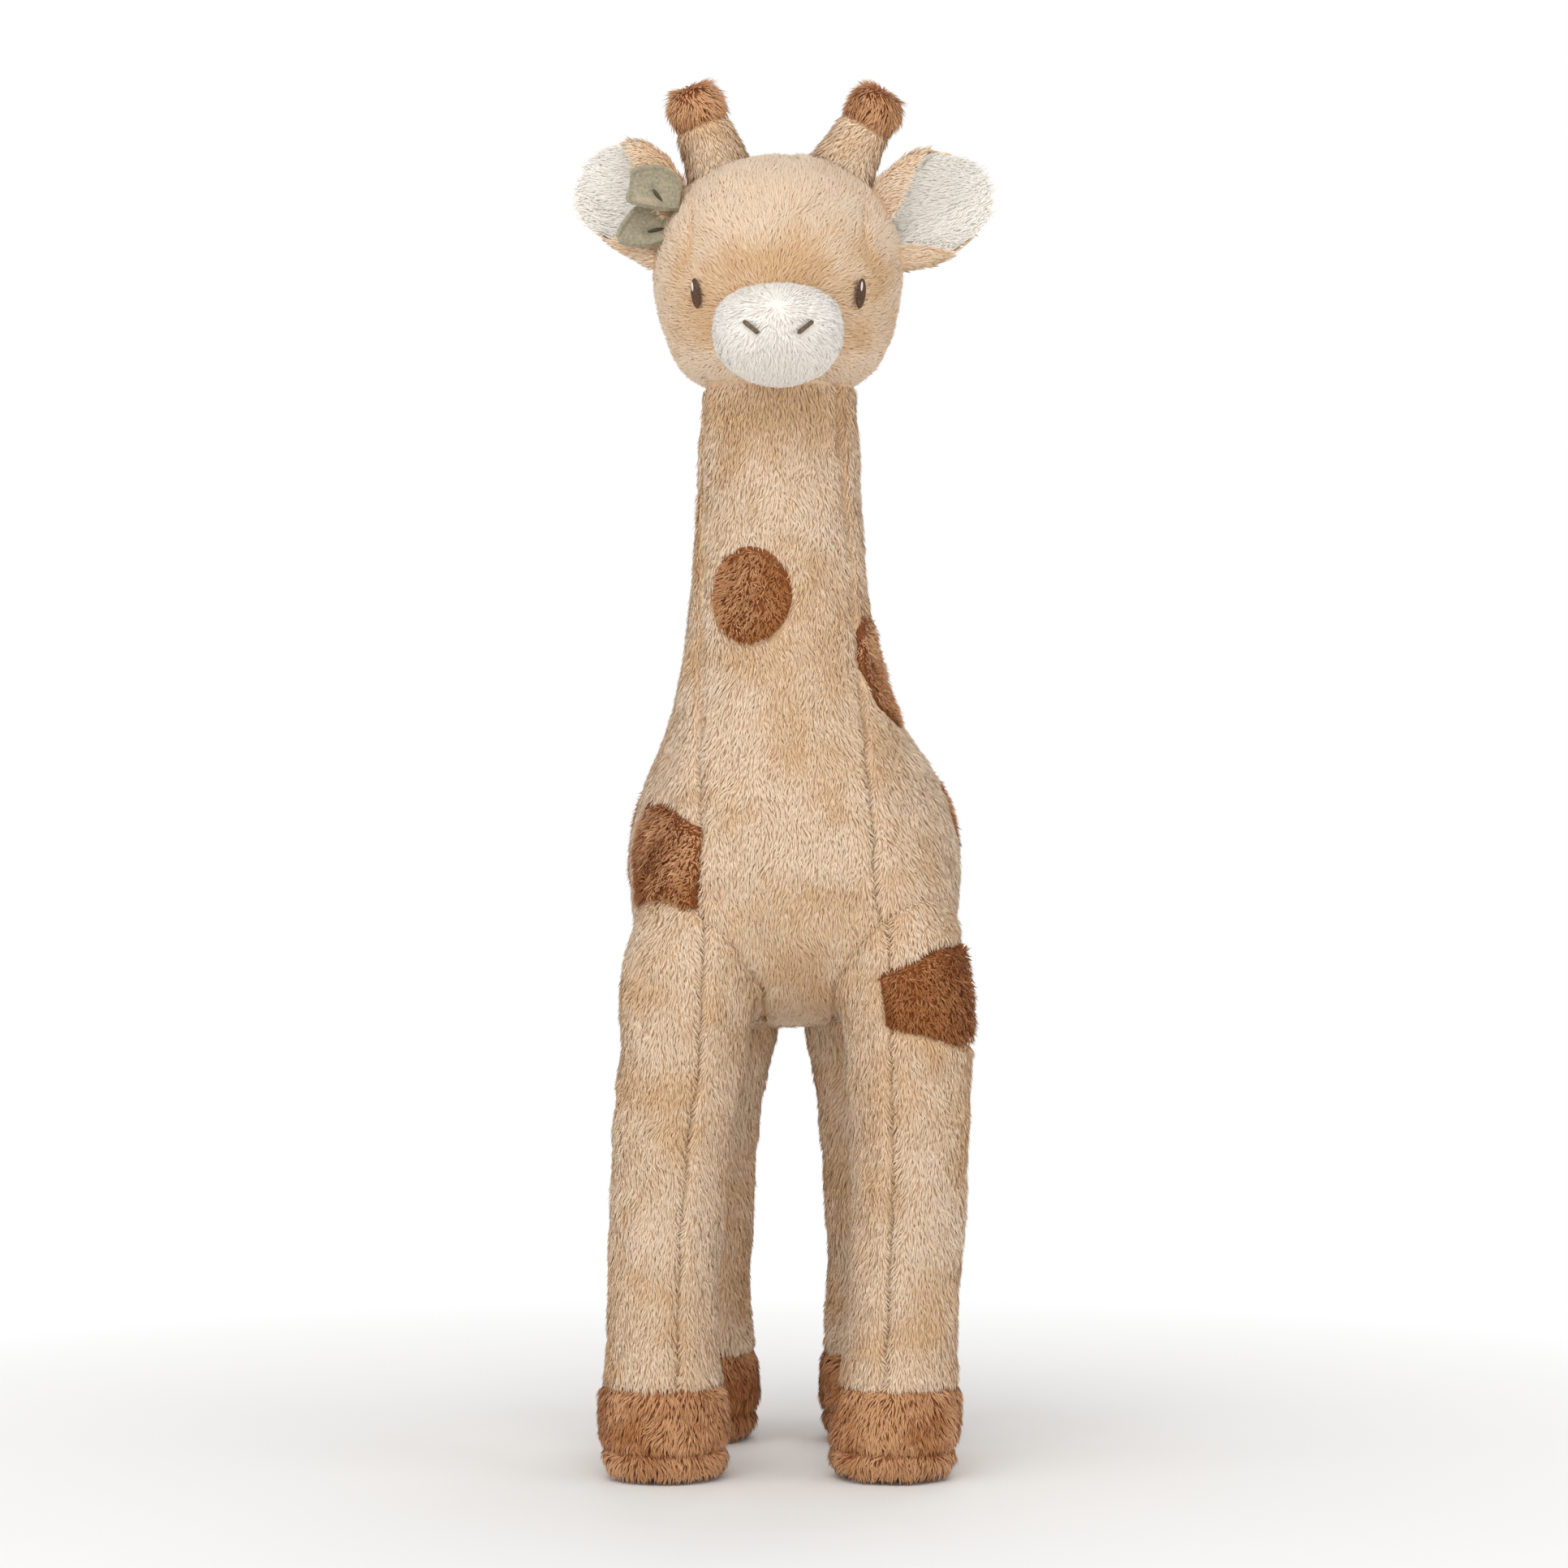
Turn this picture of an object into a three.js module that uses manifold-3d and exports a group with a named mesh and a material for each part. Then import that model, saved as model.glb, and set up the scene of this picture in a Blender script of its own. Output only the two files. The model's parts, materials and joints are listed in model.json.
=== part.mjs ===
// A plush giraffe that stands on four legs: covers of short-pile plush, cut as flat panels and sewn
// edge to edge over a filling of polyester fibre. Millimetres, +Z up, and the face looks along -Y.
// Left and right are the giraffe's own, so left is +X.
import * as THREE from "three";
import { mergeVertices } from "three/addons/utils/BufferGeometryUtils.js";
import Module from "manifold-3d";

const wasm = await Module();
wasm.setup();

// Cloth and seams
const COVER_THICKNESS = 4; // woven backing with its pile laid down
const PATCH_THICKNESS = 1.6;
const STITCH_THICKNESS = 0.9;
const SEAM_GAP = 0.3; // between two pieces that are sewn or pressed together
const CUT_OVERRUN = 400; // how far a cutting tool runs past the toy
const CORNER_MERGE = 0.001;
const POLE_RADIUS = 1.5; // the small disc that closes a form

// Trunk: the torso and the neck, under one cover. The soft body has settled a little to its left
// and the neck to its right, so their middles lie off the middle of the feet.
const BELLY_HEIGHT = 156; // above the floor
const TORSO_HEIGHT = 136;
const NECK_LENGTH = 103; // the seat of the head is cut into its top
const TORSO_HALF_WIDTH = 61;
const TORSO_HALF_DEPTH = 72;
const TORSO_BACK = 3.5; // its middle, behind the middle of the feet
const TORSO_SWAY = 4;
const NECK_ROOT_RADIUS = 36;
const NECK_TOP_RADIUS = 28.6;
const NECK_FRONT = 25.5;
const NECK_SWAY = -2;
const TRUNK_SEGMENTS = [16, 12]; // of the cover, and of the filling
// Up the torso: height, half width, half depth, the way from torso to neck, squareness
const TORSO_RING_SHARES = [
  [0.0, 0.05, 0.05, 0.0, 0.0],
  [0.016, 0.26, 0.32, 0.0, 0.3],
  [0.05, 0.46, 0.55, 0.0, 0.5],
  [0.14, 0.79, 0.8, 0.0, 0.7],
  [0.265, 0.96, 0.945, 0.0, 0.9],
  [0.4, 1.0, 1.0, 0.0, 1.0],
  [0.54, 0.975, 0.97, 0.03, 0.9],
  [0.67, 0.885, 0.868, 0.19, 0.6],
  [0.78, 0.762, 0.736, 0.41, 0.4],
  [0.88, 0.664, 0.608, 0.645, 0.2],
  [0.985, 0.598, 0.52, 0.81, 0.1],
];
const TORSO_SQUARENESS = 0.9; // added to the 2 of a plain ellipse
const SHOULDER_HEIGHT = BELLY_HEIGHT + TORSO_HEIGHT;
const NECK_FORM_HEIGHT = SHOULDER_HEIGHT + NECK_LENGTH;
// Up the neck: height, radius from the root's to the top's, the way from torso to neck
const NECK_RING_SHARES = [
  [0.175, 0.31, 0.91],
  [0.42, 0.58, 0.95],
  [0.66, 0.78, 0.97],
  [1.0, 1.0, 1.0],
];

// Front panel of the trunk, from the throat to the V between the front legs, then under the belly.
// Its right and left sides, as shares of the trunk's half width there, and heights up the torso.
const GUSSET_TOP_SIDE_SHARES = [-0.916, 0.7];
const GUSSET_LOW_SIDE_SHARES = [-0.557, 0.492];
const GUSSET_POINT_SIDE_SHARES = [-0.19, 0.23];
const GUSSET_CORNER_SHARE = 0.265;
const GUSSET_POINT_SHARE = 0.14;
const GUSSET_OVERRUN_SHARE = 0.1; // of its height, past the neck's top
const BELLY_STRIP_SHARE = 0.81; // of the torso's half depth, behind its middle

// Limbs: a leg, a hoof and a sole over one filling
const HIP_RISE = 59; // how far the leg's form reaches up into the torso
const LEG_RADIUS = 21.5;
const HOOF_RADIUS = 24;
const HOOF_HEIGHT = 34;
const SOLE_HEIGHT = 12;
const LEG_SEAM_INSET = 6; // the front seam lies this far inward of the foot's middle
const FRONT_FOOT_SIDE = 42;
const FRONT_HIP_SIDE = 37;
const FRONT_LEG_FRONT = 46.5;
const REAR_FOOT_SIDE = 35;
const REAR_HIP_SIDE = 35;
const REAR_LEG_BACK = 46.5;
const LIMB_SEGMENTS = [12, 8];
const HIP_HEIGHT = BELLY_HEIGHT + HIP_RISE;
// Up the hoof, height and radius, and up the leg, height and radius
const HOOF_RING_SHARES = [
  [0.0, 0.74],
  [0.09, 0.9],
  [0.36, 1.0],
  [1.0, 0.95],
];
const LEG_RING_SHARES = [
  [0.05, 0.99],
  [0.3, 0.95],
  [0.5, 1.0],
  [0.66, 1.1],
  [0.79, 1.16],
  [0.89, 1.02],
  [1.0, 0.45],
];

// Head: a skull form that sits on the neck in a round seat
const SEAT_DEPTH = 14; // the bottom of the head lies this far inside the neck's form
const SEAT_RADIUS = 56;
const SEAT_RIM_RADIUS = 36;
const SEAT_SEGMENTS = 24;
const HEAD_HEIGHT = 91.5;
const HEAD_HALF_WIDTH = 46;
const HEAD_HALF_DEPTH = 46;
const HEAD_SEGMENTS = [16, 12];
const HEAD_NOD_DEG = [-10, 6]; // up, and down until the chin meets the throat
const SEAT_HEIGHT = NECK_FORM_HEIGHT - SEAT_DEPTH;
// Up the head: height and half width
const HEAD_RING_SHARES = [
  [0.26, 0.9],
  [0.36, 0.965],
  [0.52, 1.0],
  [0.67, 0.965],
  [0.77, 0.885],
  [0.86, 0.77],
  [0.93, 0.61],
  [0.98, 0.37],
  [1.0, 0.12],
];
// Rings inside the round seat, as shares of the rim's radius
const SEAT_RING_SHARES = [0.06, 0.5, 1.0];
// The middle panel of the head runs between the eye seams, down to the middle of the muzzle.
const CROWN_WIDTH_SHARE = 0.675;

// Muzzle
const MUZZLE_HALF_WIDTH = 24.5;
const MUZZLE_HALF_DEPTH = 25;
const MUZZLE_HALF_HEIGHT = 20;
const MUZZLE_FRONT_SHARE = 0.946; // of the head's half depth, in front of its middle
const MUZZLE_HEIGHT_SHARE = 0.24;
const MUZZLE_SEGMENTS = [16, 12];
const NOSTRIL_LENGTH = 7;
const NOSTRIL_WIDTH = 2;
const NOSTRIL_SIDE = 9.5;
const NOSTRIL_RISE = 0.5; // above the muzzle's middle
const NOSTRIL_SLOPE_DEG = 41;

// Eyes
const EYE_WIDTH = 4.6;
const EYE_HEIGHT = 10.6;
const EYE_HEIGHT_SHARE = 0.41; // of the head's height
const EYE_BEARING_DEG = 40; // from straight ahead
const EYE_SEGMENTS = 10;

// Horns
const HORN_LENGTH = 46; // from its root inside the head
const HORN_RADIUS = 11.5;
const HORN_TIP_LENGTH = 15;
const HORN_HEIGHT_SHARE = 0.82;
const HORN_FRONT = 2; // of the middle of the head
const HORN_NOD_DEG = 6; // forward
const HORN_SEGMENTS = [10, 6];
const HORNS = { left: { sideShare: 0.38, leanDeg: 28 }, right: { sideShare: -0.39, leanDeg: -20 } };
// Up the horn: height and radius
const HORN_RING_SHARES = [
  [0.0, 1.04],
  [0.4, 1.0],
  [0.7, 0.93],
  [0.88, 0.9],
  [0.97, 0.66],
  [1.0, 0.3],
];

// Ears: a cupped blade of two plies
const EAR_LENGTH = 40;
const EAR_HALF_WIDTH = 22;
const EAR_CUP = 8;
const EAR_BACK_THICKNESS = 3;
const EAR_LINING_THICKNESS = 2.6;
const EAR_LINING_INSET = 1.5;
const EAR_SIDE_SHARE = 0.86; // of the head's half width
const EAR_BACK = 1; // behind the middle of the head
const EAR_HEIGHT_SHARE = 0.743;
const EAR_TILT_DEG = 20; // the tip stands above the root
const EAR_SWING_DEG = [-20, 25]; // forward and backward
// Out along the ear: length, half width, cup
const EAR_RIB_SHARES = [
  [0.0, 0.46, 1.0],
  [0.18, 0.7, 1.0],
  [0.4, 0.93, 0.9],
  [0.62, 1.0, 0.72],
  [0.82, 0.86, 0.5],
  [0.95, 0.52, 0.3],
  [1.0, 0.2, 0.16],
];
const EAR_SEGMENTS = 6; // across

// Leaves of felt, sewn to the root of the right ear
const LEAF_THICKNESS = 1.8;
const LEAF_CUP = 2;
const VEIN_WIDTH = 1.2;
const VEIN_THICKNESS = 0.7;
const VEIN_START_SHARE = 0.2;
const VEIN_END_SHARE = 0.62;
const LEAF_ROOT_OUT = 5; // from the ear's root
const LEAF_SWING_DEG = [0, 35]; // forward, away from the ear
const LEAVES = {
  upper: { length: 18, halfWidth: 7, turnDeg: 17, lift: 6.5, forwardDeg: 22, cupShare: 0.55 },
  lower: { length: 25, halfWidth: 7.2, turnDeg: -37, lift: -3, forwardDeg: 22, cupShare: 0.3 },
};
// Out along a leaf: length, half width, cup
const LEAF_RIB_SHARES = [
  [0.0, 0.28, 0.4],
  [0.18, 0.74, 0.8],
  [0.42, 1.0, 1.0],
  [0.68, 0.86, 0.9],
  [0.88, 0.5, 0.5],
  [1.0, 0.12, 0.1],
];
const LEAF_SEGMENTS = 4; // across

// Tail
const TAIL_RADIUS = 5.2;
const TAIL_LENGTH = 42;
const TAIL_HEIGHT_SHARE = 0.5; // of the torso's height
const TAIL_TUFT_RADIUS = 8.5;
const TAIL_TUFT_LENGTH = 26;
const TAIL_SEGMENTS = 8;
const TAIL_LIFT_DEG = 80;
const TAIL_RING_SHARES = [
  [0.0, 0.8],
  [0.3, 0.95],
  [0.9, 1.0],
  [1.0, 0.7],
];
const TUFT_RING_SHARES = [
  [0.0, 0.2],
  [0.12, 0.62],
  [0.5, 1.0],
  [0.85, 0.82],
  [1.0, 0.62],
];

// The thread that closes the seam between the neck and the head
const SEAM_THREAD_RADIUS = 0.8;
const THREAD_CLEARANCE = 1; // around the neck
const SEAM_THREAD_SIDES = 5;
const SEAM_THREAD_STEPS = 20;

// Patches of brown plush on the trunk and the left foreleg. An outline's corners are shares of half
// the patch's width and height. The bearing goes round from straight ahead, to the giraffe's left,
// as on a round trunk that is then widened and deepened to the real one. The level is a share of the
// height of the trunk, or of the leg.
const ROUND_SHARES = ring(12);
const BLOCK_SHARES = [
  [-0.72, 1.0],
  [0.1, 0.98],
  [1.0, 0.46],
  [0.98, -0.98],
  [-0.9, -0.94],
  [-1.0, 0.4],
];
const SLANTED_SHARES = [
  [-1.0, 0.42],
  [-0.1, 0.92],
  [0.86, 1.0],
  [1.0, -0.96],
  [0.4, -1.0],
  [-0.92, -0.62],
];
const LONG_SHARES = [
  [-0.55, 1.0],
  [0.5, 0.96],
  [1.0, 0.1],
  [0.86, -0.72],
  [0.1, -1.0],
  [-0.7, -0.6],
  [-1.0, 0.3],
];
const PATCHES = {
  neck_spot_front: { outline: ROUND_SHARES, width: 29, height: 34, levelShare: 0.657, bearingDeg: -20 },
  neck_spot_left: { outline: LONG_SHARES, width: 30, height: 40, levelShare: 0.544, bearingDeg: 75 },
  neck_spot_back: { outline: ROUND_SHARES, width: 30, height: 33, levelShare: 0.787, bearingDeg: 205 },
  shoulder_spot_right: { outline: BLOCK_SHARES, width: 40, height: 37, levelShare: 0.27, bearingDeg: -48 },
  flank_spot_right: { outline: LONG_SHARES, width: 42, height: 38, levelShare: 0.3, bearingDeg: -102 },
  flank_spot_left: { outline: SLANTED_SHARES, width: 42, height: 38, levelShare: 0.335, bearingDeg: 92 },
  rump_spot: { outline: ROUND_SHARES, width: 32, height: 29, levelShare: 0.3, bearingDeg: 142 },
};
const THIGH_PATCH = { outline: SLANTED_SHARES, width: 38, height: 35, levelShare: 0.8, bearingDeg: 36 };

const BAR_SHARES = [
  [-1.0, -0.4],
  [-0.8, -1.0],
  [0.8, -1.0],
  [1.0, -0.4],
  [1.0, 0.4],
  [0.8, 1.0],
  [-0.8, 1.0],
  [-1.0, 0.4],
];

const PLUSH_BEIGE = cloth(0xdcbf9c);
const PLUSH_BROWN = cloth(0xad764a);
const PLUSH_CREAM = cloth(0xf0eae0);
const FELT_SAGE = cloth(0xa9a588);
const THREAD_BROWN = cloth(0x5a3a22);
const FIBRE_WHITE = cloth(0xf6f5f1);

function cloth(colour) {
  return new THREE.MeshStandardMaterial({ color: colour, roughness: 0.95, metalness: 0 });
}

// Points of a circle of radius 1.
function ring(count) {
  return Array.from({ length: count }, (_, i) => {
    const angle = (2 * Math.PI * i) / count;
    return [Math.cos(angle), Math.sin(angle)];
  });
}

function between(low, high, share) {
  return low + (high - low) * share;
}

// A solid of a closed geometry, for cutting and joining.
function solidOf(geometry) {
  geometry.deleteAttribute("normal");
  geometry.deleteAttribute("uv");
  const merged = mergeVertices(geometry, CORNER_MERGE);
  return new wasm.Manifold(
    new wasm.Mesh({
      numProp: 3,
      vertProperties: merged.attributes.position.array,
      triVerts: new Uint32Array(merged.index.array),
    }),
  );
}

function geometryOf(solid) {
  const mesh = solid.getMesh();
  const geometry = new THREE.BufferGeometry();
  geometry.setAttribute("position", new THREE.BufferAttribute(mesh.vertProperties, mesh.numProp));
  geometry.setIndex(new THREE.BufferAttribute(mesh.triVerts, 1));
  geometry.computeVertexNormals();
  return geometry;
}

// A stuffed form: a skin through a stack of rings, closed by a disc at each end.
function formSolid(rings, segments, placed = new THREE.Matrix4()) {
  const points = [];
  const faces = [];
  for (const { x, y, z, halfWidth, halfDepth, power } of rings) {
    for (const [across, along] of ring(segments)) {
      points.push(
        x + halfWidth * Math.sign(across) * Math.abs(across) ** (2 / power),
        y + halfDepth * Math.sign(along) * Math.abs(along) ** (2 / power),
        z,
      );
    }
  }
  for (let level = 0; level < rings.length - 1; level++) {
    for (let i = 0; i < segments; i++) {
      const a = level * segments + i;
      const b = level * segments + ((i + 1) % segments);
      faces.push(a, b, b + segments, a, b + segments, a + segments);
    }
  }
  for (const [level, turned] of [
    [0, true],
    [rings.length - 1, false],
  ]) {
    const centre = points.length / 3;
    points.push(rings[level].x, rings[level].y, rings[level].z);
    for (let i = 0; i < segments; i++) {
      const a = level * segments + i;
      const b = level * segments + ((i + 1) % segments);
      faces.push(centre, turned ? b : a, turned ? a : b);
    }
  }
  const geometry = new THREE.BufferGeometry();
  geometry.setAttribute("position", new THREE.Float32BufferAttribute(points, 3));
  geometry.setIndex(faces);
  return solidOf(geometry.applyMatrix4(placed));
}

// A form's cover is finer than what lies under it.
function layered(rings, [fine, plain], by, placed) {
  return formSolid(grown(rings, by), by < 0 ? plain : fine, placed);
}

// The same rings, moved out by this much along the form's profile.
function grown(rings, by) {
  const size = (r) => (r.halfWidth + r.halfDepth) / 2;
  return rings.map((r, i) => {
    const below = rings[Math.max(i - 1, 0)];
    const above = rings[Math.min(i + 1, rings.length - 1)];
    const rise = above.z - below.z;
    const swell = size(above) - size(below);
    const slant = Math.hypot(rise, swell);
    const out = (by * rise) / slant;
    const end = i === 0 ? -by : by;
    const isEnd = i === 0 || i === rings.length - 1;
    return {
      ...r,
      z: r.z + (isEnd ? end : (-by * swell) / slant),
      halfWidth: Math.max(r.halfWidth + out, POLE_RADIUS),
      halfDepth: Math.max(r.halfDepth + out, POLE_RADIUS),
    };
  });
}

// The block of space between two planes across an axis, as far as a cut needs to reach.
function slab(axis, low, high) {
  const size = new THREE.Vector3(CUT_OVERRUN, CUT_OVERRUN, CUT_OVERRUN).multiplyScalar(2);
  const centre = new THREE.Vector3(0, 0, BELLY_HEIGHT);
  size[axis] = high - low;
  centre[axis] = (low + high) / 2;
  const box = new THREE.BoxGeometry(size.x, size.y, size.z);
  return solidOf(box.translate(centre.x, centre.y, centre.z));
}

function below(height) {
  return slab("z", -CUT_OVERRUN, height - SEAM_GAP / 2);
}

function above(height) {
  return slab("z", height + SEAM_GAP / 2, height + CUT_OVERRUN);
}

// An outline in the XZ plane, extruded along Y from the front to the back plane given.
function prismAlongY(corners, front, back) {
  const shape = new THREE.Shape(corners.map(([x, z]) => new THREE.Vector2(x, z)));
  const prism = new THREE.ExtrudeGeometry(shape, { depth: back - front, bevelEnabled: false });
  return solidOf(prism.rotateX(Math.PI / 2).translate(0, back, 0));
}

function trunkRings() {
  const ringAt = (z, halfWidth, halfDepth, onward, square) => ({
    x: between(TORSO_SWAY, NECK_SWAY, onward),
    y: between(TORSO_BACK, -NECK_FRONT, onward),
    z,
    halfWidth,
    halfDepth,
    power: 2 + square * TORSO_SQUARENESS,
  });
  const torso = TORSO_RING_SHARES.map(([height, width, depth, onward, square]) => {
    const z = between(BELLY_HEIGHT, SHOULDER_HEIGHT, height);
    return ringAt(z, width * TORSO_HALF_WIDTH, depth * TORSO_HALF_DEPTH, onward, square);
  });
  const neck = NECK_RING_SHARES.map(([height, taper, onward]) => {
    const radius = between(NECK_ROOT_RADIUS, NECK_TOP_RADIUS, taper);
    return ringAt(between(SHOULDER_HEIGHT, NECK_FORM_HEIGHT, height), radius, radius, onward, 0);
  });
  return [...torso, ...neck];
}

function trunkSolid(by) {
  return layered(trunkRings(), TRUNK_SEGMENTS, by);
}

// The ring of the trunk at a height.
function trunkRingAt(height) {
  const rings = trunkRings();
  const above = rings.findIndex((r) => r.z >= height);
  const [low, high] = [rings[above - 1], rings[above]];
  const share = (height - low.z) / (high.z - low.z);
  return Object.fromEntries(Object.keys(low).map((key) => [key, between(low[key], high[key], share)]));
}

function limbRings(footX, hipX, y) {
  const place = (z, radius) => ({
    x: between(footX, hipX, z / HIP_HEIGHT),
    y,
    z,
    halfWidth: radius,
    halfDepth: radius,
    power: 2,
  });
  const hoof = HOOF_RING_SHARES.map(([height, radius]) =>
    place(height * HOOF_HEIGHT, radius * HOOF_RADIUS),
  );
  const leg = LEG_RING_SHARES.map(([height, radius]) =>
    place(between(HOOF_HEIGHT, HIP_HEIGHT, height), radius * LEG_RADIUS),
  );
  return [...hoof, ...leg];
}

function skullRings() {
  const place = (z, halfWidth, halfDepth) => ({
    x: NECK_SWAY,
    y: -NECK_FRONT,
    z,
    halfWidth,
    halfDepth,
    power: 2,
  });
  const seat = SEAT_RING_SHARES.map((share) => {
    const radius = share * SEAT_RIM_RADIUS;
    return place(SEAT_HEIGHT + SEAT_RADIUS - Math.sqrt(SEAT_RADIUS ** 2 - radius ** 2), radius, radius);
  });
  const dome = HEAD_RING_SHARES.map(([height, width]) =>
    place(headHeightAt(height), width * HEAD_HALF_WIDTH, width * HEAD_HALF_DEPTH),
  );
  return [...seat, ...dome];
}

function skullSolid(by) {
  return layered(skullRings(), HEAD_SEGMENTS, by);
}

function headHeightAt(share) {
  return SEAT_HEIGHT + share * HEAD_HEIGHT;
}

function muzzleMiddle() {
  const front = NECK_FRONT + MUZZLE_FRONT_SHARE * HEAD_HALF_DEPTH;
  return new THREE.Vector3(NECK_SWAY, -front, headHeightAt(MUZZLE_HEIGHT_SHARE));
}

function muzzleSolid(by) {
  const segments = MUZZLE_SEGMENTS[by < 0 ? 1 : 0];
  const ball = new THREE.SphereGeometry(1, segments, segments / 2);
  ball.rotateX(Math.PI / 2);
  ball.scale(MUZZLE_HALF_WIDTH + by, MUZZLE_HALF_DEPTH + by, MUZZLE_HALF_HEIGHT + by);
  const middle = muzzleMiddle();
  return solidOf(ball.translate(middle.x, middle.y, middle.z));
}

// The ball that the head turns in. Its facets lie outside the true ball.
function seatBall(by) {
  const radius = (SEAT_RADIUS + by) / Math.cos(Math.PI / SEAT_SEGMENTS) ** 2;
  const ball = new THREE.SphereGeometry(radius, SEAT_SEGMENTS, SEAT_SEGMENTS / 2);
  return solidOf(ball.rotateX(Math.PI / 2).translate(NECK_SWAY, -NECK_FRONT, SEAT_HEIGHT + SEAT_RADIUS));
}

// The loop of thread in the crease under the head: its radius and height.
function threadLoop() {
  const radius = NECK_TOP_RADIUS + THREAD_CLEARANCE + SEAM_THREAD_RADIUS;
  const reach = SEAT_RADIUS + SEAM_GAP + SEAM_THREAD_RADIUS;
  return { radius, height: SEAT_HEIGHT + SEAT_RADIUS - Math.sqrt(reach ** 2 - radius ** 2) };
}

// The space around the neck that the chin stays out of as the head nods down, a cone from the
// middle of the head.
function throatCone() {
  const { radius, height } = threadLoop();
  const middle = SEAT_HEIGHT + SEAT_RADIUS;
  const edge = Math.atan2(radius + SEAM_THREAD_RADIUS + SEAM_GAP, middle - height);
  const slant = Math.tan(edge + THREE.MathUtils.degToRad(HEAD_NOD_DEG[1]));
  const depth = 2 * SEAT_RADIUS;
  const cone = new THREE.ConeGeometry(slant * depth, depth, SEAT_SEGMENTS);
  return solidOf(cone.rotateX(Math.PI / 2).translate(NECK_SWAY, -NECK_FRONT, middle - depth / 2));
}

// A prism of an outline, standing on a point inside a form and facing out at a bearing.
function outwardPrism({ outline, width, height, bearingDeg, turnDeg = 0 }, middle) {
  const corners = outline.map(([x, z]) => new THREE.Vector2((x * width) / 2, (z * height) / 2));
  const shape = new THREE.Shape(corners);
  const prism = new THREE.ExtrudeGeometry(shape, { depth: CUT_OVERRUN, bevelEnabled: false });
  prism.rotateZ(THREE.MathUtils.degToRad(turnDeg));
  prism.rotateX(Math.PI / 2);
  prism.rotateZ(THREE.MathUtils.degToRad(bearingDeg));
  return solidOf(prism.translate(middle.x, middle.y, middle.z));
}

// A thin piece that lies on a form, cut to an outline.
function patchOn(formAt, thickness, prism) {
  return formAt(SEAM_GAP + thickness).subtract(formAt(SEAM_GAP)).intersect(prism);
}

// A cupped blade of cloth: ribs across a spine along X, hollow towards -Y.
function bladeSolid({ ribs, length, halfWidth, cup, near, far, segments, inset = 0 }, placed) {
  const points = [];
  const faces = [];
  for (const offset of [near, far]) {
    for (const [along, wide, deep] of ribs) {
      for (let j = 0; j <= segments; j++) {
        const across = (2 * j) / segments - 1;
        const half = Math.max(wide * halfWidth - inset, POLE_RADIUS);
        points.push(along * (length - inset), offset - deep * cup * across ** 2, across * half);
      }
    }
  }
  const row = segments + 1;
  const sheet = ribs.length * row;
  const quad = (a, b, c, d) => faces.push(a, b, c, a, c, d);
  for (let i = 0; i < ribs.length - 1; i++) {
    for (let j = 0; j < segments; j++) {
      const a = i * row + j;
      quad(a, a + row, a + row + 1, a + 1);
      quad(sheet + a, sheet + a + 1, sheet + a + row + 1, sheet + a + row);
    }
    const low = i * row;
    const high = i * row + segments;
    quad(low, sheet + low, sheet + low + row, low + row);
    quad(high, high + row, sheet + high + row, sheet + high);
  }
  for (let j = 0; j < segments; j++) {
    const last = (ribs.length - 1) * row + j;
    quad(j, j + 1, sheet + j + 1, sheet + j);
    quad(last, sheet + last, sheet + last + 1, last + 1);
  }
  const geometry = new THREE.BufferGeometry();
  geometry.setAttribute("position", new THREE.Float32BufferAttribute(points, 3));
  geometry.setIndex(faces);
  return solidOf(geometry.applyMatrix4(placed));
}

function turnedAbout(frame, axis, degrees) {
  const turn = new THREE.Matrix4().makeRotationAxis(axis, THREE.MathUtils.degToRad(degrees));
  return frame.clone().multiply(turn).multiply(frame.clone().invert());
}

// What an obstacle takes up, seen from a piece that swings through these angles about an axis of its
// frame.
function sweptBy(obstacle, frame, axis, angles) {
  return angles
    .map((angle) => obstacle.transform(turnedAbout(frame, axis, -angle).toArray()))
    .reduce((swept, turned) => swept.add(turned));
}

const AXIS = { x: new THREE.Vector3(1, 0, 0), z: new THREE.Vector3(0, 0, 1) };

const toy = new THREE.Group();

function add(name, solid, material) {
  const mesh = new THREE.Mesh(geometryOf(solid), material);
  mesh.name = name;
  toy.add(mesh);
}

// The space of the trunk's front panel: throat, chest, V between the legs and belly strip.
function gussetSpace(by) {
  const corner = between(BELLY_HEIGHT, SHOULDER_HEIGHT, GUSSET_CORNER_SHARE);
  const point = between(BELLY_HEIGHT, SHOULDER_HEIGHT, GUSSET_POINT_SHARE);
  const onTorso = (shares) => shares.map((share) => TORSO_SWAY + share * TORSO_HALF_WIDTH);
  const top = GUSSET_TOP_SIDE_SHARES.map((share) => NECK_SWAY + share * NECK_TOP_RADIUS);
  const low = onTorso(GUSSET_LOW_SIDE_SHARES);
  const tip = onTorso(GUSSET_POINT_SIDE_SHARES);
  const [rightEdge, leftEdge] = [0, 1].map((i) => {
    const out = i === 0 ? -by : by;
    const past = 1 + GUSSET_OVERRUN_SHARE;
    return [
      [between(low[i], top[i], past) + out, between(corner, NECK_FORM_HEIGHT, past)],
      [low[i] + out, corner - by],
      [tip[i] + out, point - by],
      [tip[i] + out, 0],
    ];
  });
  const front = prismAlongY([...rightEdge, ...leftEdge.reverse()], -CUT_OVERRUN, -NECK_FRONT + by);
  const strip = [
    [tip[0] - by, 0],
    [tip[1] + by, 0],
    [tip[1] + by, point + by],
    [tip[0] - by, point + by],
  ];
  const stripBack = TORSO_BACK + BELLY_STRIP_SHARE * TORSO_HALF_DEPTH;
  return front.add(prismAlongY(strip, -CUT_OVERRUN, stripBack + by));
}

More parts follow.
